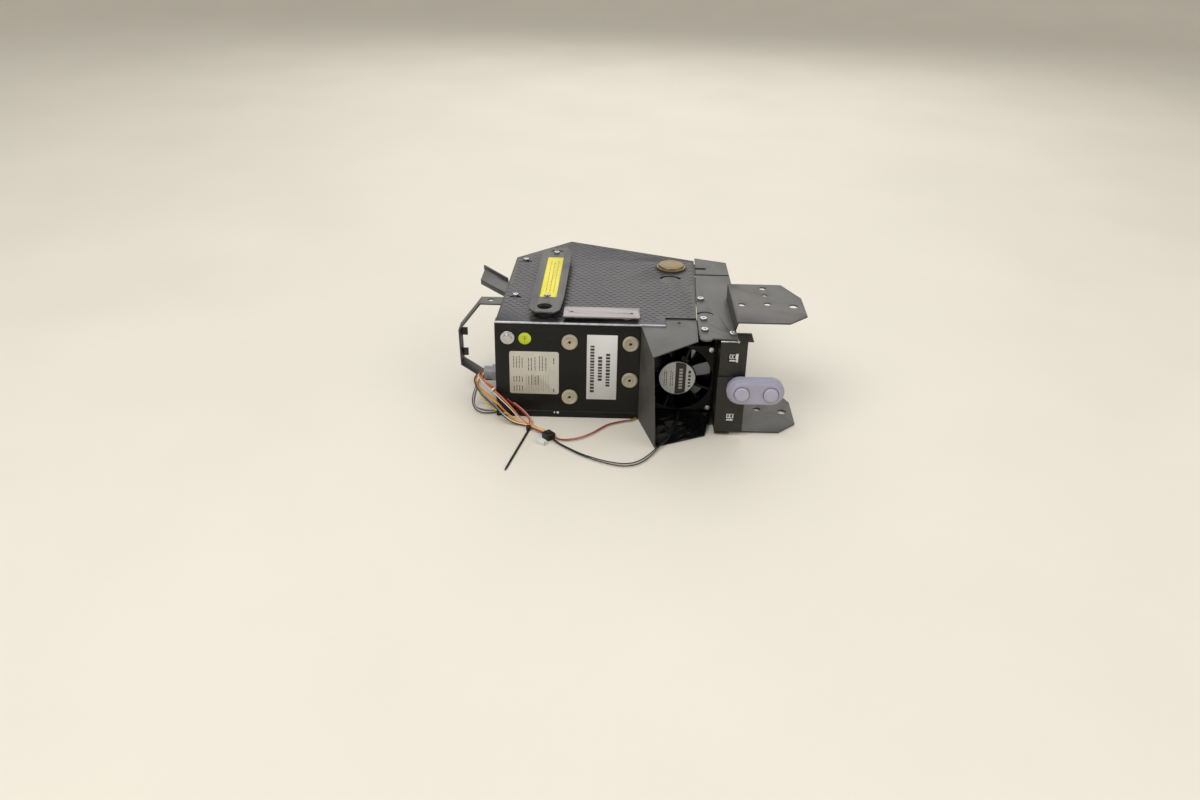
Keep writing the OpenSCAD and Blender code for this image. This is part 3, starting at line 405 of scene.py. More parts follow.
# Each finish: its material, its colour as a hex code or the name of a colour property, its two
# roughnesses, metallic, mottle, patch in mm, grain in mm and relief in mm. Then come any settings
# of surface(), a share that the colour is made lighter by, and what banded() is given.
FINISHES = {
    # Polyester powder coat on steel: an even satin black with a faint orange peel of about 1.5 mm
    "box": ("powder_coated_steel_black", "box", (0.30, 0.42), 0, 0.15, 45, 1.5, 0.012,
            {"dust": 0.08, "specular_ior_level": 0.3}),
    # Grey stove enamel on folded steel: dull, faintly marked by handling
    "bracket": ("stove_enamelled_steel_grey", "bracket", (0.38, 0.55), 0, 0.10, 35, 1, 0.01,
                {"dust": 0.18, "specular_ior_level": 0.5}),
    # Black-brown enamel of the two front plates, flatter than the box
    "plate": ("stove_enamelled_steel_black", "plate", (0.40, 0.55), 0, 0.12, 25, 1.2, 0.01, {"dust": 0.12}),
    # Embossed sheet, dark grey satin: its own grey made darker as painted shade between the raised marks,
    # whose sheen is painted on their tops
    "tread": ("embossed_enamelled_sheet", "tread", (0.30, 0.44), 0.15, 0.10, 60, 0.9, 0.012,
              {"dust": 0.14}),
    # Tops of the embossed marks, 8.5 times paler than the sheet between them: a painted highlight
    "tread_tops_highlight": ("embossed_enamel_rubbed", "tread", (0.28, 0.42), 0.2, 0.14, 50, 0.9, 0.01,
                   {"share": 8.5, "dust": 0.1}),
    # Pale, partly metallic enamel along the bend: a painted highlight, standing for the light that the bend
    # catches
    "bend": ("enamel_worn_on_bend", "#c4c3ca", (0.22, 0.34), 0.4, 0.2, 14, 0.8, 0.01),
    # Zinc-plated steel bar, brushed along its length
    "bar": ("zinc_plated_steel_brushed", "bar", (0.28, 0.42), 0.75, 0.08, 12, 0.7, 0.01,
            {"stretch": (0.08, 1, 1)}),
    # Bright zinc screws: small sharp highlights over a slightly patchy plating
    "zinc": ("bright_zinc_plated_steel", "#c3c3c4", (0.2, 0.34), 1, 0.12, 4, 0.5, 0.01),
    # Brass dulled by handling, with turning marks
    "plug": ("turned_brass_dull", "plug", (0.3, 0.45), 0.85, 0.15, 9, 0.6, 0.012),
    # Nylon 6, moulded and yellowed: soft gloss with a little light under the skin
    "pad": ("nylon_moulded_aged", "pad", (0.4, 0.55), 0, 0.10, 6, 0.5, 0.015, {"subsurface_weight": 0.05}),
    # ABS, moulded with a fine spark-eroded grain
    "control": ("abs_moulded_lilac_grey", "control", (0.38, 0.48), 0, 0.05, 18, 0.5, 0.012, {"ior": 1.54}),
    # The same ABS, polished by use on the two buttons
    "button": ("abs_moulded_polished", "control", (0.28, 0.36), 0, 0.04, 10, 0.6, 0.006,
               {"share": 1.12, "ior": 1.54}),
    # Glass-filled PBT, moulded: deep black with a low gloss
    "fan": ("pbt_moulded_black", "fan", (0.34, 0.46), 0, 0.2, 14, 0.5, 0.012, {"specular_ior_level": 0.22}),
    # Clear-coated black polyester film, crumpled and glossy
    "film": ("polyester_film_black", "#0d0e0e", (0.10, 0.24), 0, 0.3, 18, 9, 0.5, {"ior": 1.64}),
    # Stickers: silvery vinyl, matt polyester, soft white paper, and glossy coloured vinyl
    "silver_label": ("vinyl_label_silver", "silver_label", (0.35, 0.5), 0.25, 0.04, 14, 0.6, 0.005),
    "fan_label": ("polyester_label_silver", "#eeefed", (0.35, 0.5), 0, 0.04, 10, 0.6, 0.004),
    "white_label": ("paper_label_white", "white_label", (0.55, 0.68), 0, 0.02, 16, 0.4, 0.006),
    "yellow_label": ("vinyl_label_yellow", "yellow_label", (0.35, 0.5), 0, 0.05, 12, 0.5, 0.006),
    "earth": ("vinyl_label_green", "earth", (0.35, 0.5), 0, 0.05, 8, 0.5, 0.005),
    # Printing ink, a little uneven where it has rubbed
    "ink": ("printing_ink_dark", "#3b3a3c", (0.5, 0.65), 0, 0.25, 3, 0.4, 0.003),
    "ink_pale": ("printing_ink_faded", "#37352e", (0.5, 0.65), 0, 0.3, 3, 0.4, 0.003),
    "ink_olive": ("printing_ink_olive", "#b5a829", (0.5, 0.65), 0, 0.2, 3, 0.4, 0.003),
    # Nitrile rubber: matt black with a dusty bloom
    "rubber": ("nitrile_rubber_moulded", "#191918", (0.55, 0.7), 0, 0.25, 7, 0.5, 0.02, {"dust": 0.1}),
    # Clear polypropylene spacers: milky, with light under the skin
    "feet": ("polypropylene_moulded_clear", "#d5d4d6", (0.3, 0.42), 0, 0.05, 8, 0.5, 0.006,
             {"subsurface_weight": 0.15}),
    # Moulded polyamide and nylon: the grey gland, black ties and creamy white housings
    "gland": ("polyamide_moulded_grey", "#8f8e93", (0.35, 0.48), 0, 0.08, 10, 0.6, 0.012),
    "tie": ("nylon_moulded_black", "#141414", (0.3, 0.42), 0, 0.2, 6, 0.5, 0.01),
    "housing_white": ("nylon_moulded_white", "#dddcd6", (0.35, 0.48), 0, 0.05, 6, 0.5, 0.008,
                      {"subsurface_weight": 0.05}),
    # Thin brass, stamped and bright
    "ferrule": ("brass_stamped_bright", "#d0b04e", (0.25, 0.4), 0.8, 0.1, 4, 0.5, 0.01),
    # Turned aluminium, with fine rings from the tool
    "flange": ("aluminium_turned", "#a4a6a9", (0.25, 0.4), 1, 0.06, 14, 0.8, 0.01,
               {"bands": (1.2, 0.85, "Z", 0.02)}),
    # Amber polycarbonate: glassy, tinted through
    "window": ("polycarbonate_moulded_amber", "#b98f4c", (0.2, 0.3), 0, 0.05, 10, 0.6, 0.004,
               {"ior": 1.58}),
    # Cork bound in rubber: coarse brown speckle
    "gasket": ("nbr_cork_sheet", "#4a3526", (0.6, 0.75), 0, 0.3, 3, 1, 0.08),
    # Rolled lead: dull grey bloom over soft dents
    "lead": ("lead_sheet_rolled", "#6c6f75", (0.5, 0.65), 0.7, 0.12, 12, 1.5, 0.03),
    # Blown borosilicate glass: clear, with a faint green edge
    "glass": ("borosilicate_glass_blown", "#d7e2e0", (0.02, 0.06), 0, 0.02, 20, 5, 0.01,
              {"transmission_weight": 0.9, "ior": 1.47}),
    # Metals of the X-ray tube: turned copper, grainy sintered tungsten, bright drawn nickel
    "copper": ("copper_turned", "#b4693f", (0.25, 0.4), 1, 0.12, 8, 0.6, 0.01),
    "tungsten": ("tungsten_sintered", "#8e8e93", (0.35, 0.5), 1, 0.1, 3, 0.4, 0.01),
    "nickel": ("nickel_drawn", "#bcbdbf", (0.2, 0.35), 1, 0.08, 6, 0.5, 0.008),
    # Pressed paper board: dry and fibrous
    "pressboard": ("pressboard_cut", "#cfc39d", (0.65, 0.8), 0, 0.1, 6, 0.6, 0.04),
    # Transformer steel stamped from 0.5 mm sheet, drawn at 2 mm so that the edges show as lines
    "core": ("transformer_steel_laminated", "#57585b", (0.4, 0.55), 0.6, 0.12, 10, 0.8, 0.02,
             {"bands": (2.0, 0.55, "X", 0.08)}),
    # Enamelled copper wire wound in 1.2 mm turns: bright copper ridges
    "winding": ("enamelled_copper_wire_wound", "#b0632f", (0.25, 0.4), 0.6, 0.12, 8, 0.8, 0.01,
                {"bands": (1.2, 0.4, "Y", 0.3)}),
    # Crepe paper tape wound in 6 mm laps over the high-voltage coils
    "taped": ("crepe_paper_tape_wound", "#c7ae80", (0.55, 0.7), 0, 0.12, 8, 0.5, 0.05,
              {"bands": (6.0, 0.75, "Y", 0.2)}),
    # Green glass-epoxy board, and blue epoxy over ceramic capacitors
    "board": ("fr4_laminate_green", "#2c6438", (0.3, 0.42), 0, 0.08, 12, 0.7, 0.02),
    "capacitor": ("epoxy_dipped_ceramic", "#2b4e8c", (0.25, 0.4), 0, 0.12, 8, 0.8, 0.03),
    # Moulded rubber, dulled by oil
    "bellows": ("nitrile_rubber_bellows", "#33302c", (0.5, 0.65), 0, 0.12, 9, 0.6, 0.03),
    # Sintered ferrite, and the ground steel of the shaft and bearings
    "magnet": ("ferrite_sintered", "#45464a", (0.5, 0.62), 0.3, 0.12, 5, 0.5, 0.03),
    "steel": ("steel_ground", "#c6c8ca", (0.15, 0.3), 1, 0.06, 5, 0.5, 0.005),
}
# PVC insulation: low gloss, coloured through
WIRE_COLOURS = {"orange": "#d8702f", "red": "#b3302a", "yellow": "#e2c62c", "white": "#d9d6d0",
                "black": "#1b1a1a", "violet": "#6d4f7d", "grey": "#8a8788", "brown": "#7c3a22",
                "salmon": "#d99a78"}
for _name, _code in WIRE_COLOURS.items():
    FINISHES["pvc_" + _name] = ("pvc_insulation_" + _name, _code, (0.32, 0.45), 0, 0.08, 5, 0.5, 0.006)


# ---- stage ---------------------------------------------------------------------------

# Camera: focal length and sensor width in mm, its place in metres, and its right, up and forward ways
LENS, SENSOR = 30.905, 36.0
CAMERA_AT = (0.0114, -1.3184, 0.6489)
CAMERA_RIGHT, CAMERA_UP = (0.99969, 0.01546, 0.01971), (-0.02465, 0.46649, 0.88419)
CAMERA_AHEAD = (-0.00448, 0.88439, -0.46672)
# Floor: a wide disc that rises far behind and beside the head as a studio sweep, given as radius
# and height in metres, and set a little below the head
SWEEP = [(0.001, 0), (0.5, 0), (1, 0), (2, 0), (3, 0), (4, 0), (4.6, 0.1), (5, 0.45), (5.2, 1.2), (5.25, 3.5)]
FLOOR_DROP = 0.0003
SKY, SKY_STRENGTH = "#eef0f4", 0.62
# Soft square lights: name, place and side in metres, and power in watts; they face AIM
LIGHTS = (("key", (-0.9, -1.2, 2.1), 1.6, 30.0), ("back", (0.2, 1.9, 1.7), 2.4, 24.0),
          ("fill", (1.7, -0.9, 1.2), 1.4, 9.0))
AIM = (0.03, 0, 0.08)


class HEAD_OT_stage(bpy.types.Operator):
    """Camera, floor, sky and soft lights"""
    bl_idname = "head.stage"
    bl_label = "Stage"

    def execute(self, context):
        scene = context.scene
        lens = bpy.data.cameras.new("camera")
        lens.lens, lens.sensor_width = LENS, SENSOR
        camera = bpy.data.objects.new("camera", lens)
        turn = Matrix((CAMERA_RIGHT, CAMERA_UP, -Vector(CAMERA_AHEAD))).transposed().to_4x4()
        turn.translation = CAMERA_AT
        camera.matrix_world = turn
        scene.collection.objects.link(camera)
        scene.camera = camera
        a = np.linspace(0, 2 * np.pi, 96, endpoint=False)[None, :]
        r, h = np.array(SWEEP, float).T[..., None]
        verts, faces = grid(np.stack([r * np.cos(a), r * np.sin(a), h - FLOOR_DROP + 0 * a], -1), around=True)
        mesh = bpy.data.meshes.new("floor")
        mesh.from_pydata(verts, [], faces[:, ::-1])
        mesh.shade_smooth()
        mesh.materials.append(surface("floor_board_pale", scene.head_colours.floor, (0.5, 0.65),
                                      metallic=0.0, mottle=0.02, patch=300, grain=8, relief=0.02))
        floor = bpy.data.objects.new("floor", mesh)
        scene.collection.objects.link(floor)
        world = bpy.data.worlds.new("studio")
        world.use_nodes = True
        sky = world.node_tree.nodes["Background"]
        sky.inputs[0].default_value = colour(SKY)
        sky.inputs[1].default_value = SKY_STRENGTH
        scene.world = world
        scene.view_settings.view_transform = "Standard"
        for name, place, size, power in LIGHTS:
            light = bpy.data.lights.new(name, "AREA")
            light.size, light.energy = size, power
            lamp = bpy.data.objects.new(name, light)
            lamp.location = place
            lamp.rotation_euler = (Vector(AIM) - Vector(place)).to_track_quat("-Z", "Y").to_euler()
            scene.collection.objects.link(lamp)
        return {"FINISHED"}


# ---- leads ---------------------------------------------------------------------------

HARNESS = [[-20, 45, 40], [-25, 43, 40], [-29, 36, 39], [-30, 26, 37], [-26, 14, 35], [-18, 2, 33],
           [-8, -8, 29], [2, -14, 23], [12, -18, 14], [22, -22, 7], [32, -26, 4], [44, -31, 4],
           [56, -40, 4], [67.5, -50.5, 4]]
FAN_LEAD = [[75.3, -62.5, 3.5], [81, -69, 2.6], [88, -76, 2], [98, -85, 2], [110, -95, 2],
            [124, -104, 2], [138, -111, 2], [152, -116, 2], [166, -118, 2], [178, -115, 2],
            [188, -107, 2], [196, -97, 2.2], [202, -88, 2.6], [208.5, -78, 4], [215, -69, 5],
            [222, -58, 6.4], [228, -42, 9.4], [233, -24, 12.8], [236, -9, 15.8], [237, -1, 18]]
SENSE_LEAD = [[78.7, -59.4, 3.4], [84, -62.5, 2.6], [92, -63, 2], [104, -60, 2], [116, -53, 2],
              [127, -43, 2], [136, -32, 2], [145, -22, 2], [157, -15, 2], [166, -11, 2],
              [174, -9.5, 2.4]]
# Other ways that wires take between the gland and the black tie: above the bundle, along the
# bench beside it, and in a loop towards the box
TOP = [[-20, 45, 40.5], [-24, 41, 41], [-25, 30, 42], [-16, 15, 39], [-4, 3, 35], [8, -7, 29], [20, -15, 20],
       [32, -24, 10], [43, -30.5, 4.6], [56, -40, 4], [67.5, -50.5, 4]]
LOW = [[-20, 45, 39.5], [-24, 38, 36], [-26, 26, 29], [-22, 18, 18], [-9, 9, 7], [6, -2, 3], [22, -17, 2.2],
       [35, -26, 2.4], [44, -31.5, 3.6], [56, -40, 4], [67.5, -50.5, 4]]
LOOP = [[-20, 45, 39], [-24.5, 40, 39], [-21, 27, 38], [-8, 13, 37], [4, 6, 32], [18, 0, 22], [32, -4, 12],
        [42, -13, 6], [46, -23, 4], [45.5, -31, 4], [56, -41, 4], [67.5, -50.5, 4]]
# Each wire of the bundle: its colour, its way, its bearing round that way in degrees and its
# greatest distance from it in mm
BUNDLE = [("orange", TOP, 60, 1.2), ("salmon", TOP, 200, 2.4), ("white", TOP, 300, 3.4),
          ("red", LOOP, 30, 0.8), ("salmon", LOOP, 210, 1.8), ("yellow", LOW, 190, 3.6),
          ("yellow", LOW, 30, 1.8), ("white", LOW, 100, 4.4), ("yellow", HARNESS, 225, 6.4),
          ("yellow", HARNESS, 160, 3.0), ("white", HARNESS, 20, 5.0), ("violet", HARNESS, 285, 4.6),
          ("grey", HARNESS, 250, 2.6), ("black", HARNESS, 315, 6.4), ("orange", HARNESS, 90, 4.2)]
# Wires of the four-way connector's loop: colour and place across the loop in mm
LOOPED = (("black", 1.0), ("white", -0.8), ("violet", 0.2), ("grey", -1.6))


def cord(name, path, diameter, look, stands_for):
    """A free wire as a curve of one spline through the path, in millimetres."""
    path = np.array(path, float)
    path[:, 2] = np.maximum(path[:, 2], diameter * 500 + 0.05)
    data = bpy.data.curves.new(name, "CURVE")
    data.dimensions = "3D"
    data.bevel_depth = diameter / 2
    data.bevel_resolution = 3
    data.use_fill_caps = True
    line = data.splines.new("POLY")
    line.points.add(len(path) - 1)
    here = at(path)
    line.points.foreach_set("co", np.concatenate([here, np.ones((len(here), 1))], 1).ravel())
    data.materials.append(finish(look))
    obj = bpy.data.objects.new(name, data)
    bpy.context.scene.collection.objects.link(obj)
    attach(obj, "root")
    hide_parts(stands_for)


class HEAD_OT_leads(bpy.types.Operator):
    """Wires, cable ties and connectors"""
    bl_idname = "head.leads"
    bl_label = "Leads"

    def execute(self, context):
        sizes = context.scene.head_sizes
        black, pins, ferrule = self.connectors()
        for k, (shade, way, degrees, reach) in enumerate(BUNDLE):
            path = curve_through(way)
            level, upward = across(path)
            share = np.linspace(0, 1, len(path))[:, None]
            # Wide between the two ties, close at the gland and at the black tie
            swell = np.interp(share, [0, 0.15, 0.28, 0.5, 0.66, 0.8, 1],
                              [1.2, 1.4, 1.2, reach, 0.8 * reach, 1.5, 2.6])
            a = np.radians(degrees) + 0.9 * np.sin(3.1 * share + k)
            wire = path + swell * (level * np.cos(a) + 0.8 * upward * np.sin(a))
            cord(f"wire_{k + 1}_{shade}", wire, sizes.wire, "pvc_" + shade, "harness")
        for k, (shade, side) in enumerate(LOOPED):
            loop = [[-20, 45 + side, 39 - k], [-25, 41, 34], [-31 + k, 32, 24], [-34 + k, 20 + k, 12],
                    [-30, 9 + 2 * k, 5], [-19, 2 + 3 * k, 2.2], [-6, 4 + 2 * k, 1.4], [4, 10 + 0.8 * k, 2],
                    [6, 20 + side, 3], [0, 26 + side, 3.4], [-8, 30 + side, 3.2]]
            cord(f"wire_{len(BUNDLE) + k + 1}_{shade}", curve_through(loop), sizes.wire, "pvc_" + shade,
                 "harness")
        # The fan's two wires part in the middle of their way, and so do the sensor's: distances in mm
        # at points of the way
        for name, way, half, points, apart, diameter, shades, node, far_end, ends in (
                ("fan", FAN_LEAD, 0.8, [0, 3, 5, 8, 10, 13, 19], [0.8, 0.8, 2, 5, 3.5, 0.9, 0.8],
                 sizes.fan_wire, ("black", "black"), "fan_leads", "object", []),
                ("sensor", SENSE_LEAD, 0.6, [0, 3, 6, 10], [0.6, 2.5, 1.0, 0.5],
                 sizes.sense_wire, ("red", "brown"), "sense_leads", "fitting", [ferrule])):
            path = curve_through(way)
            level, _ = across(path)
            away = np.interp(np.linspace(0, points[-1], len(path)), points, apart)[:, None]
            for k, wire in enumerate((path - half * level, path + away * level)):
                cord(f"{name}_wire_{k + 1}", wire, diameter, "pvc_" + shades[k], node)
        self.ties()
        return {"FINISHED"}

    def connectors(self):
        """Black and white housings at the bundle's end, a four-way one by the gland, and the
        ferrule of the sensor: rounded blocks with a latch and rows of contact chambers."""
        def housing(length, width, height, ways):
            body = rounded_box((length, width, height), 1.0)
            step = width / ways
            rows = (np.arange(ways) + 0.5) * step - width / 2
            nose = blocks((length / 2 - 0.2, length / 2 + 0.8), (rows - 0.3 * step, rows + 0.3 * step),
                          (0.25 * height, 0.75 * height))
            latch = blocks((-length * 0.3, length * 0.2), (-width * 0.25, width * 0.25),
                           (height - 0.1, height + 0.9))
            return joined(body, nose, latch)

        black = piece("connector_black", turned(housing(13.4, 12.0, 8.0, 3), (71.1, -56.8, 0.1), -48),
                      "tie", stands_for=("harness_connectors",))
        piece("connector_white", turned(housing(12.0, 7.0, 5.4, 2), (62.6, -70.0, 0.1), -38),
              "housing_white", stands_for=("harness_connectors",))
        pins = piece("connector_four_way", turned(housing(16.0, 6.4, 5.0, 4), (-14.8, 31.7, 0.1), -28),
                     "housing_white", stands_for=("harness_connectors",))
        profile = [(0.9, 0), (1.7, 0.1), (2.0, 0.6), (2.0, 3.2), (1.7, 3.6), (1.7, 6.0), (2.0, 6.4),
                   (2.0, 10.4), (1.7, 10.9), (1.0, 11)]
        ferrule = piece("sensor_ferrule", lathe(profile, (174, -9.6, 2.4), bearing(40), 32), "ferrule",
                        stands_for=("harness_connectors",))
        return black, pins, ferrule

    def ties(self):
        """A cable tie round the bundle with its square head and long ribbed tail, and a clear one
        nearer the gland: each band is a flat ring, and the tail is a thin strip with ribs."""
        def band(centre, run, radius, width=2.6):
            run = np.array(run, float) / np.linalg.norm(run)
            return lathe([(radius, -width / 2), (radius + 0.9, -width / 2), (radius + 1.1, 0),
                          (radius + 0.9, width / 2), (radius, width / 2), (radius, -width / 2)],
                         centre, run, 40)
        length, taper, half_width, half_thick, rib_pitch = 100, 94, 1.3, 0.45, 2.0
        tail = np.linspace(0, length, 61)
        lift = 0.7 + 0.25 * np.sin(tail / 9) ** 2
        half = np.where(tail > taper, half_width - (tail - taper) * 0.14, half_width)
        rings = np.stack([np.stack([half * k, -tail, lift + h * half_thick], -1)
                          for k, h in ((-1, -1), (1, -1), (1, 1), (-1, 1))], 1)
        ribs = np.arange(8, 92, rib_pitch)
        crest = 1.1 + 0.25 * np.sin(ribs / 9) ** 2
        strip = joined(loft(rings), blocks((-0.9, 0.9), (-ribs - 1.1, -ribs - 0.1), (crest, crest + 0.35)))
        head = turned(rounded_box((5.2, 4.6, 6.2), 0.8), (44.2, -37.4, 0.1), -12)
        piece("tie_black", joined(band((44, -31, 4), (0.87, -0.5, 0), 3.1), head,
                                  turned(strip, (44.7, -39, 0), -12)), "tie", stands_for=("harness_ties",))
        piece("tie_clear", band((-3.5, 4.0, 34.2), (0.66, -0.7, -0.3), 4.2), "housing_white")


# ---- covers --------------------------------------------------------------------------

# Top plate: its outline and the height of its top, in mm
PLATE = np.array([[1, 0], [8.8, 233.6], [85, 308.5], [264.5, 236.3], [254.3, 25], [215, 25], [215, 0]])
PLATE_TOP = 133.0
# What the tread keeps clear of: x, y and reach in mm
CLEAR = [(229.9, 203.6, 24), (23, 221, 8), (19.5, 86, 8), (227, 162, 17)]


def inside(points, outline, margin):
    """Which points lie in an outline by at least margin: the count of edges that a line to the
    right crosses is odd, and no edge is nearer than margin."""
    a, b = outline, np.roll(outline, -1, 0)
    p = points[:, None]
    crosses = (a[:, 1] > p[..., 1]) != (b[:, 1] > p[..., 1])
    with np.errstate(divide="ignore", invalid="ignore"):
        x = a[:, 0] + (p[..., 1] - a[:, 1]) * (b[:, 0] - a[:, 0]) / (b[:, 1] - a[:, 1])
    odd = (crosses & (p[..., 0] < x)).sum(1) % 2 == 1
    along = np.clip(((p - a) * (b - a)).sum(-1) / ((b - a) ** 2).sum(-1), 0, 1)
    near = np.linalg.norm(p - a - along[..., None] * (b - a), axis=-1).min(1)
    return odd & (near > margin)


class HEAD_OT_covers(bpy.types.Operator):
    """Oil tank, front cover and patterned top plate"""
    bl_idname = "head.covers"
    bl_label = "Covers"

    def execute(self, context):
        sizes = context.scene.head_sizes
        dressed("tank_shell", "box", 0.001, 3)
        coat("gasket", "tank_gasket")
        # The lid takes the black box paint, as painted shade, so that the gaps over it read dark
        coat("box", "tank_lid")
        dressed("front_cover", "box", 0.0006, 3)
        dressed("top_plate", "tread", 0.0006, 3)
        dressed("cover_standoffs", "zinc")
        dressed("cover_screws", "zinc", 0.0005, 3)
        self.tread(sizes)
        # Bend where the top sheet turns down to the front, pale with a painted highlight: a thin angle with a
        # quarter round on its outside, carried along x
        a = np.radians(np.linspace(0, 90, 8))
        out, back = (np.stack([0.7 - r * np.cos(b), 132.3 + r * np.sin(b)], -1)
                     for r, b in ((0.82, a), (0.6, a[::-1])))
        arc = np.concatenate([[[-0.12, 131.3]], out, [[1.9, 133.12], [1.9, 132.9]], back, [[0.1, 131.3]]])
        x = np.linspace(0.8, 214.5, 40)[:, None]
        rings = np.stack([x + 0 * arc[:, 0], arc[:, 0] + 0 * x, arc[:, 1] + 0 * x], -1)
        piece("front_bend", loft(rings), "bend")
        return {"FINISHED"}

    def tread(self, sizes):
        """Raised marks in staggered rows: each is a lens, with height falling as 1 - (x/a)^2 - (y/b)^2
        from its middle, drawn with four rings of eight points."""
        px, py, rise = sizes.tread_x * 1000, sizes.tread_y * 1000, sizes.tread_rise * 1000
        rows, cols = np.meshgrid(np.arange(0, 52), np.arange(0, 30), indexing="ij")
        spots = np.stack([cols * px + (rows % 2) * px / 2, 14 + rows * py], -1).reshape(-1, 2)
        keep = inside(spots, PLATE, 4.5)
        for x, y, reach in CLEAR:
            keep &= np.hypot(spots[:, 0] - x, spots[:, 1] - y) > reach
        keep &= ~((spots[:, 0] > 205) & (spots[:, 1] < 32))
        spots = spots[keep]
        a = np.linspace(0, 2 * np.pi, 8, endpoint=False)
        rings = [np.stack([0.40 * px * s * np.cos(a), 0.24 * py * s * np.sin(a), np.full(8, h)], -1)
                 for s, h in ((0.9, -0.3), (1.0, 0.0), (0.6, rise * 0.8), (0.2, rise))]
        mark = loft(np.array(rings))
        places = np.concatenate([spots, np.full((len(spots), 1), PLATE_TOP)], 1)
        # The marks take the pale finish: a painted highlight on their tops
        piece("tread_marks", copies(mark, places), "tread_tops_highlight")


class HEAD_OT_strap(bpy.types.Operator):
    """Strap plate, guide bar, side arm and gland guard"""
    bl_idname = "head.strap"
    bl_label = "Strap and bar"

    def execute(self, context):
        for node in ("strap_plate", "side_arm", "guard_strap"):
            dressed(node, "bracket")
        dressed("guide_bar", "bar")
        dressed("strap_grommet", "rubber", 0.0008, 3)
        dressed("bar_standoffs", "feet", 0.0008, 3)
        return {"FINISHED"}


# ---- labels --------------------------------------------------------------------------

def dashes(rng, start, stop, low, high, gap):
    """Random word lengths from low to high with a gap between, from start to stop, as starts and
    ends: the running sum of lengths and gaps."""
    n = int((stop - start) / (low + gap)) + 1
    size = rng.uniform(low, high, n)
    first = start + np.concatenate([[0], np.cumsum(size + gap)[:-1]])
    keep = first + size <= stop
    return first[keep], (first + size)[keep]


def upright_lines(rng, columns, spans, width, low, high, gap, y):
    """Printed words as thin blocks on a front face: each column is an upright line of words."""
    words = [(x, dashes(rng, *span, low, high, gap)) for x in columns for span in spans]
    return joined(*[blocks((x, x + width), (y - 0.06, y + 0.1), ends) for x, ends in words])


class HEAD_OT_labels(bpy.types.Operator):
    """Labels with plain printed bars, the earth sticker and the cover bosses"""
    bl_idname = "head.labels"
    bl_label = "Labels and bosses"

    def execute(self, context):
        rng = np.random.default_rng(7)
        for node, look in (("rating_label", "silver_label"), ("tube_label", "white_label"),
                           ("strap_label", "yellow_label"), ("earth_sticker", "earth")):
            dressed(node, look, 0.0001, 1)
        face = -0.3
        groups = (([23, 26.6, 30.2, 33.8], [(70, 88), (50, 60), (37, 47)], 0.9, 1.6, 4.5),
                  ([42, 45.6, 50.2, 56, 59.6, 64], [(66, 88)], 0.9, 1.6, 5.0),
                  ([42, 46, 50.2, 54], [(46, 60)], 0.9, 1.6, 4.0),
                  ([74], [(76, 89), (36, 42)], 1.1, 2.2, 5.0))
        words = [upright_lines(rng, *group, 0.9, face) for group in groups]
        k = np.arange(10)
        rule = 39.5 + 3.1 * k
        rules = blocks((rule, rule + 0.25), (face - 0.06, face + 0.1), (np.where(k % 2, 36, 38), 60 + 0 * k))
        piece("rating_print", joined(*words, rules), "ink_pale")
        bars = [upright_lines(rng, [x], [span], 5.2, 2.4, 3.8, 1.3, face)
                for x, span in ((140.9, (46, 95)), (130.9, (54, 90)), (120.9, (37, 104)))]
        piece("tube_print", joined(*bars), "ink")
        ground = blocks((np.array([37.4, 35.2, 34.0]), np.array([38.6, 40.8, 42.0])), (-0.36, -0.2),
                        (np.array([107, 110.4, 112.8]), np.array([115, 111.4, 113.6])))
        piece("earth_print", ground, "ink_olive")
        # The yellow label leans a little, so each line of words steps aside as it goes back
        lines = []
        for x in (59.5, 64.5, 69.5):
            a, b = dashes(rng, 70, 192, 3, 9, 2)
            lean = 0.014 * (a - 66)
            lines.append(blocks((x + lean, x + 1.5 + lean), (a, b), (145.2, 145.36)))
        piece("strap_print", joined(*lines), "ink_olive")
        spots = blocks((np.array([74.6, 78.4]), np.array([76.2, 81.2])), (-1.3, -1.1),
                       (np.array([5.8, 5.4]), np.array([8.0, 8.2])))
        piece("hem_marks", spots, "housing_white")
        # Bosses: a raised ring round a dished middle with a threaded hole
        profile = [(3, 7), (3, 0), (10.0, 0), (10.2, -0.3), (10.2, -2.6), (9.9, -3.0), (9.3, -3.05),
                   (9.15, -3.5), (8.8, -3.8), (6.6, -3.8), (6.2, -3.55), (4.2, -3.4), (3.6, -3.7),
                   (2.9, -3.7), (2.5, -3.2), (1.7, -2.6), (1.65, 1)]
        boss = lathe(profile, (0, 0, 0), Y, 56)
        places = [(x, 0, z) for x, z in ((94.7, 107.8), (171.6, 107.2), (95, 30.2), (171.8, 56.2))]
        piece("cover_bosses", copies(boss, places), "pad", stands_for=("front_pads",))
        # A dark cylinder fills each boss's hole: painted shade for the depth of the hole
        hole_shade = lathe([(1.6, -2.9), (1.6, 0.9)], (0, 0, 0), Y, 24)
        piece("boss_threads", copies(hole_shade, places), "rubber")
        return {"FINISHED"}


# ---- brackets and shroud -------------------------------------------------------------

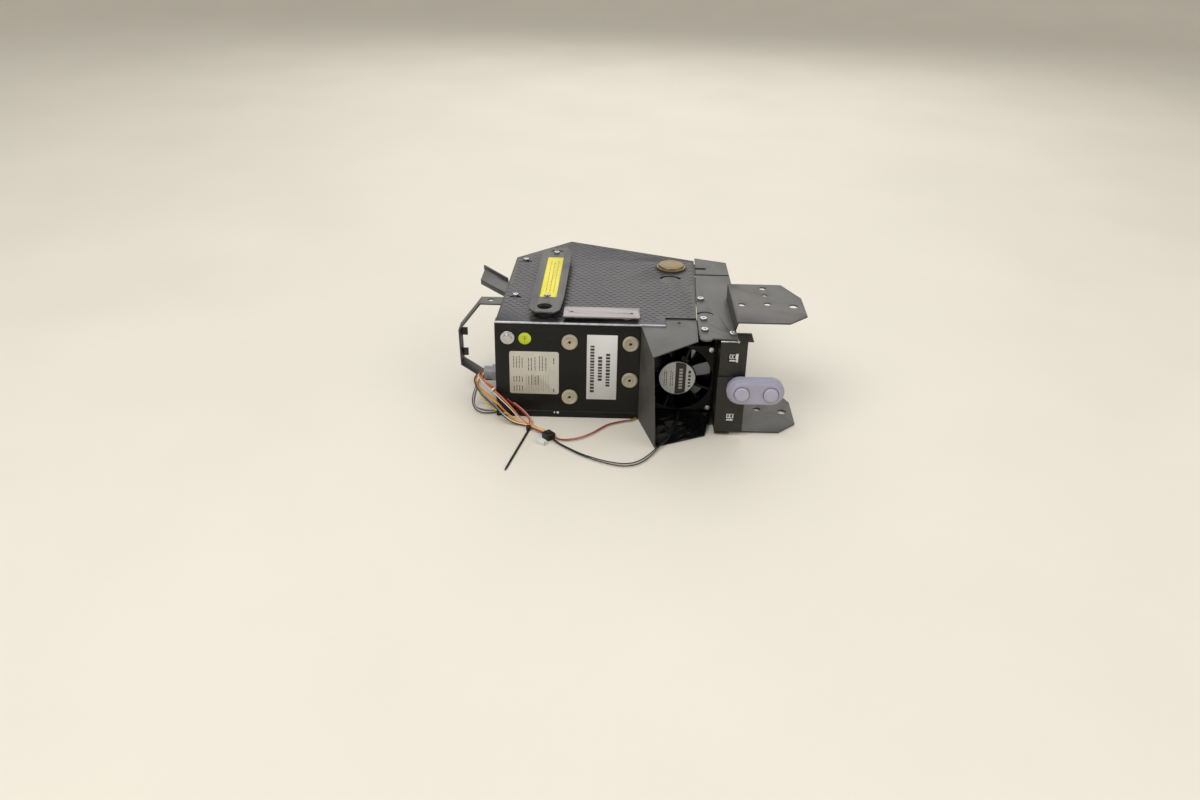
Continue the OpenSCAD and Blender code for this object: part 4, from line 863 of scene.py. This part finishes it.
class HEAD_OT_brackets(bpy.types.Operator):
    """Brackets, fork and front plates"""
    bl_idname = "head.brackets"
    bl_label = "Brackets and fork"

    def execute(self, context):
        for node in ("top_bracket", "rear_bracket", "fork_base", "fork_web", "fork_upper_ear"):
            dressed(node, "bracket", 0.0004)
        for node in ("front_plate", "lower_plate"):
            dressed(node, "plate", 0.0004)
        # Dark strips under the gap and the slots beside the two brackets: painted shade, so that these gaps
        # read dark
        shade_strips = [set_in(rounded_box((width, length, 1.4), 1.0), (x, y, 129.4), X, Y, Z)
                for x, y, width, length in ((264.5, 103, 14, 152), (269.5, 206, 24, 44))]
        piece("side_lip", joined(*shade_strips), "box")
        # Pale locking clips that show through the two windows of the front plates
        clips = []
        for x, y, z in ((292.0, -36.8, 103.4), (294.2, -39.3, 22.0)):
            left, foot = x + np.array([0, 3.0, 0, 0, 0, 7.6]), z + np.array([3.4, 3.4, 8.4, 3.2, 0, 3.4])
            clips.append(blocks((left, left + np.array([1.2, 1.8, 6.4, 6.4, 8.0, 1.2])), (y, y + 0.8),
                                (foot, foot + np.array([6.2, 6.2, 1.0, 1.0, 1.6, 6.2]))))
        piece("plate_clips", joined(*clips), "housing_white")
        # Hinge pin along the plate's top edge, under the bracket's front edge, its head at the right
        pin = lathe([(0, 0), (0.8, 0.1), (0.9, 0.4), (0.9, 20.6), (1.6, 20.6), (1.7, 22.0), (1.4, 22.8),
                     (0, 22.8)], (280.2, -38.4, 130.4), X, 28)
        piece("bracket_pin", pin, "zinc")
        return {"FINISHED"}


class HEAD_OT_shroud(bpy.types.Operator):
    """Fan shroud and the film on its floor"""
    bl_idname = "head.shroud"
    bl_label = "Shroud"

    def execute(self, context):
        dressed("fan_shroud", "bracket", 0.0003)
        # Film: the point at shares (u, v) of a four-cornered sheet, raised by 1.3 mm and by creases from
        # two crossed and warped ripples that fade towards its edges
        u, v = np.meshgrid(np.linspace(0, 1, 60), np.linspace(0, 1, 60), indexing="ij")
        a, b, c, d = np.array([(205.6, -73.3, 0.2), (268.5, -42.5, 0.2), (277, -2.5, 13), (188, -2.5, 13)])
        u3, v3 = u[..., None], v[..., None]
        flat = (1 - v3) * ((1 - u3) * a + u3 * b) + v3 * ((1 - u3) * d + u3 * c)
        fade = (16 * u * (1 - u) * v * (1 - v)) ** 0.5
        warp = u + 0.12 * np.sin(5 * v + 1) + 0.07 * np.sin(11 * v)
        crease = np.abs(np.sin(7 * warp + 3 * v)) + 0.7 * np.abs(np.sin(8 * v - 5 * warp ** 2 + 1))
        top = flat + Z * (1.3 + 1.1 * fade * crease)[..., None]
        under = flat + Z * 0.1
        rings = np.concatenate([top, under[:, ::-1]], 1)
        piece("floor_film", loft(rings), "film", stands_for=("shroud_floor",))
        return {"FINISHED"}


# ---- fan -----------------------------------------------------------------------------

# Middle of the fan's front
FAN = (232.3, -1.0, 61.0)


class HEAD_OT_fan(bpy.types.Operator):
    """Cooling fan with its frame, impeller, motor and label"""
    bl_idname = "head.fan"
    bl_label = "Fan"

    def execute(self, context):
        dressed("fan_frame", "fan", 0.0007, 3)
        coat("winding", "fan_stator")
        coat("steel", "fan_bearings", "fan_shaft")
        coat("magnet", "fan_magnet")
        self.impeller(context.scene.head_sizes.blades)
        self.label()
        return {"FINISHED"}

    def impeller(self, count):
        """Cup and blades. A blade point at radius r and share t of the chord, from -1/2 to 1/2, lies at
        bearing t L cos(p) / r and depth 13 + t L sin(p), less a camber of 1.3 (1 - 4 t^2); the chord L
        grows from 18 to 36 mm and the pitch p falls from 46 to 32 degrees towards the tip, and the
        two skins stand apart by up to 0.9 mm."""
        cup = lathe([(1.5, 23.9), (1.5, 22.1), (19.6, 22.1), (19.6, 3.6), (20.6, 3.6), (21.4, 4.0), (21.5, 5),
                     (21.5, 22.6), (20.8, 23.6), (19.8, 23.9)], FAN, Y, 72)
        s, t = np.meshgrid(np.linspace(0, 1, 14), np.linspace(-0.5, 0.5, 15), indexing="ij")
        r = 21.2 + s * 22.0
        chord, pitch = 18 + 18 * s, np.radians(46 - 14 * s)
        skins = []
        for side in (1, -1):
            b = t * chord * np.cos(pitch) / r
            thick = side * 0.75 * np.sqrt(np.maximum(0, 1 - (2 * t) ** 2)) + 2.2 * (1 - 4 * t ** 2)
            depth = np.clip(13.0 + t * chord * np.sin(pitch) - 0.6 * thick, 5.0, 22.8)
            skins.append(np.stack([r * np.sin(b), depth, r * np.cos(b)], -1))
        rings = np.concatenate([skins[0], skins[1][:, ::-1]], 1)
        blade = loft(rings)
        blades = []
        for a in np.arange(count) * 2 * np.pi / count:
            c, n = np.cos(a), np.sin(a)
            blades.append(set_in(blade, FAN, (c, 0, -n), Y, (n, 0, c)))
        piece("impeller", joined(cup, *blades), "fan", body="fan_rotor", stands_for=("fan_impeller",))

    def label(self):
        """Round label with a dark upright band and short printed bars: the band's height at x is
        twice the root of r^2 - x^2."""
        x0, y0, z0 = FAN
        disc = lathe([(0, 0.05), (22.8, 0.05), (23, -0.1), (22.8, -0.25), (0, -0.28)], FAN, Y, 72)
        piece("fan_label_disc", disc, "fan_label", stands_for=("fan_label",))
        x = np.linspace(-2.4, 11.0, 24)
        h = np.sqrt(22.4 ** 2 - x ** 2)
        rings = np.stack([np.stack([x0 + x, np.full(24, y0 + dy), z0 + side * h], -1)
                          for side, dy in ((-1, -0.25), (1, -0.25), (1, -0.34), (-1, -0.34))], 1)
        piece("fan_label_band", loft(rings), "ink")
        rng = np.random.default_rng(11)
        disc_face, band_face = y0 - 0.28, y0 - 0.34
        columns = x0 + np.array([-16.5, -14, -8.5, -6])
        fine = upright_lines(rng, columns, [(z0 - 11, z0 + 12)], 0.8, 1.5, 4, 0.9, disc_face)
        coarse = upright_lines(rng, [x0 + 14.0], [(z0 - 12, z0 + 13)], 3.2, 2.2, 4.2, 2.0, disc_face)
        piece("fan_label_print", joined(fine, coarse), "ink")
        word = upright_lines(rng, [x0 + 2.4], [(z0 - 15, z0 + 15)], 4.6, 2.4, 3.6, 1.4, band_face)
        piece("fan_band_print", word, "silver_label")


# ---- control, plug and gland ---------------------------------------------------------

class HEAD_OT_control(bpy.types.Operator):
    """Two-button control"""
    bl_idname = "head.control"
    bl_label = "Control"

    def execute(self, context):
        dressed("control_case", "control", 0.0009, 4)
        coat("board", "control_board")
        # Button: a shallow dome with a soft rim, its retaining flange and plunger
        profile = [(0, -3.2), (4, -3.18), (6.4, -3.1), (7.8, -2.9), (8.6, -2.4), (8.95, -1.7), (9, -0.8),
                   (9, 2.3), (10.3, 2.35), (10.3, 3.75), (2.4, 3.8), (2.4, 6.3), (0, 6.3)]
        for side, name in ((-1, "button_left"), (1, "button_right")):
            part = lathe(profile, (326 + side * 17.9, -58, 69), Y, 64)
            piece(name + "_cap", part, "button", body=name, stands_for=(name,))
        return {"FINISHED"}


# Middle of the oil filler plug
PLUG = (229.9, 203.6, 0)


class HEAD_OT_plug(bpy.types.Operator):
    """Oil filler plug and cable gland"""
    bl_idname = "head.plug"
    bl_label = "Plug and gland"

    def execute(self, context):
        # Plug: stem, wide flange with a soft rim, and a raised cap with a dished top
        profile = [(0, 113.5), (11.9, 113.6), (12, 119.5), (14.9, 119.6), (15, 133.6), (19.9, 133.6),
                   (20.4, 133.9), (20.5, 135.2), (20.2, 136.1), (19.4, 136.4), (18.2, 136.4), (18.0, 136.8),
                   (17.9, 138.2), (17.3, 138.9), (16.4, 139.0), (15.2, 138.8), (13.8, 138.3), (6, 138.2),
                   (0, 138.2)]
        piece("filler_plug_turned", lathe(profile, PLUG, Z, 80), "plug", stands_for=("filler_plug",))
        # Dark ring round the plug's flange: painted shade standing for the gap of its clearance hole in the
        # top plate
        shade_ring = lathe([(20.6, 133.0), (23.4, 133.0), (23.6, 133.3), (22.4, 133.6), (20.6, 133.5),
                      (20.6, 133.0)], PLUG, Z, 72)
        piece("plug_seal", shade_ring, "rubber")
        dressed("cable_gland", "gland", 0.0006, 3)
        return {"FINISHED"}


class HEAD_OT_inside(bpy.types.Operator):
    """Finishes of what is sealed in the tank"""
    bl_idname = "head.inside"
    bl_label = "Inside"

    def execute(self, context):
        for look, nodes in (("lead", ["lead_lining"]), ("glass", ["tube_glass"]), ("copper", ["anode"]),
                            ("tungsten", ["anode_target"]), ("nickel", ["cathode_cup"]),
                            ("pressboard", ["tube_saddles"]), ("core", ["transformer_core"]),
                            ("winding", ["primary_coil"]),
                            ("taped", ["secondary_coil", "filament_transformer"]),
                            ("board", ["multiplier_board"]), ("capacitor", ["multiplier_parts"]),
                            ("bellows", ["expansion_bellows"]), ("window", ["beam_window"])):
            coat(look, *nodes)
        dressed("beam_flange", "flange", 0.0006, 3)
        return {"FINISHED"}


# ---- panel and registration ----------------------------------------------------------

STEPS = (HEAD_OT_stage, HEAD_OT_leads, HEAD_OT_covers, HEAD_OT_strap, HEAD_OT_labels, HEAD_OT_brackets,
         HEAD_OT_shroud, HEAD_OT_fan, HEAD_OT_control, HEAD_OT_plug, HEAD_OT_inside)


class HEAD_PT_panel(bpy.types.Panel):
    """Lists the steps, the sizes and the colours"""
    bl_label = "Tube head"
    bl_idname = "HEAD_PT_panel"
    bl_space_type = "VIEW_3D"
    bl_region_type = "UI"
    bl_category = "Tube head"

    def draw(self, context):
        for step in STEPS:
            self.layout.operator(step.bl_idname)
        for group in (context.scene.head_sizes, context.scene.head_colours):
            for key in group.__annotations__:
                self.layout.prop(group, key)


CLASSES = (HeadSizes, HeadColours, *STEPS, HEAD_PT_panel)


def register():
    for cls in CLASSES:
        bpy.utils.register_class(cls)
    bpy.types.Scene.head_sizes = PointerProperty(type=HeadSizes)
    bpy.types.Scene.head_colours = PointerProperty(type=HeadColours)


def unregister():
    del bpy.types.Scene.head_sizes
    del bpy.types.Scene.head_colours
    for cls in reversed(CLASSES):
        bpy.utils.unregister_class(cls)


def main():
    """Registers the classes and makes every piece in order."""
    register()
    for step in STEPS:
        group, name = step.bl_idname.split(".")
        getattr(getattr(bpy.ops, group), name)()


if __name__ == "__main__":
    main()
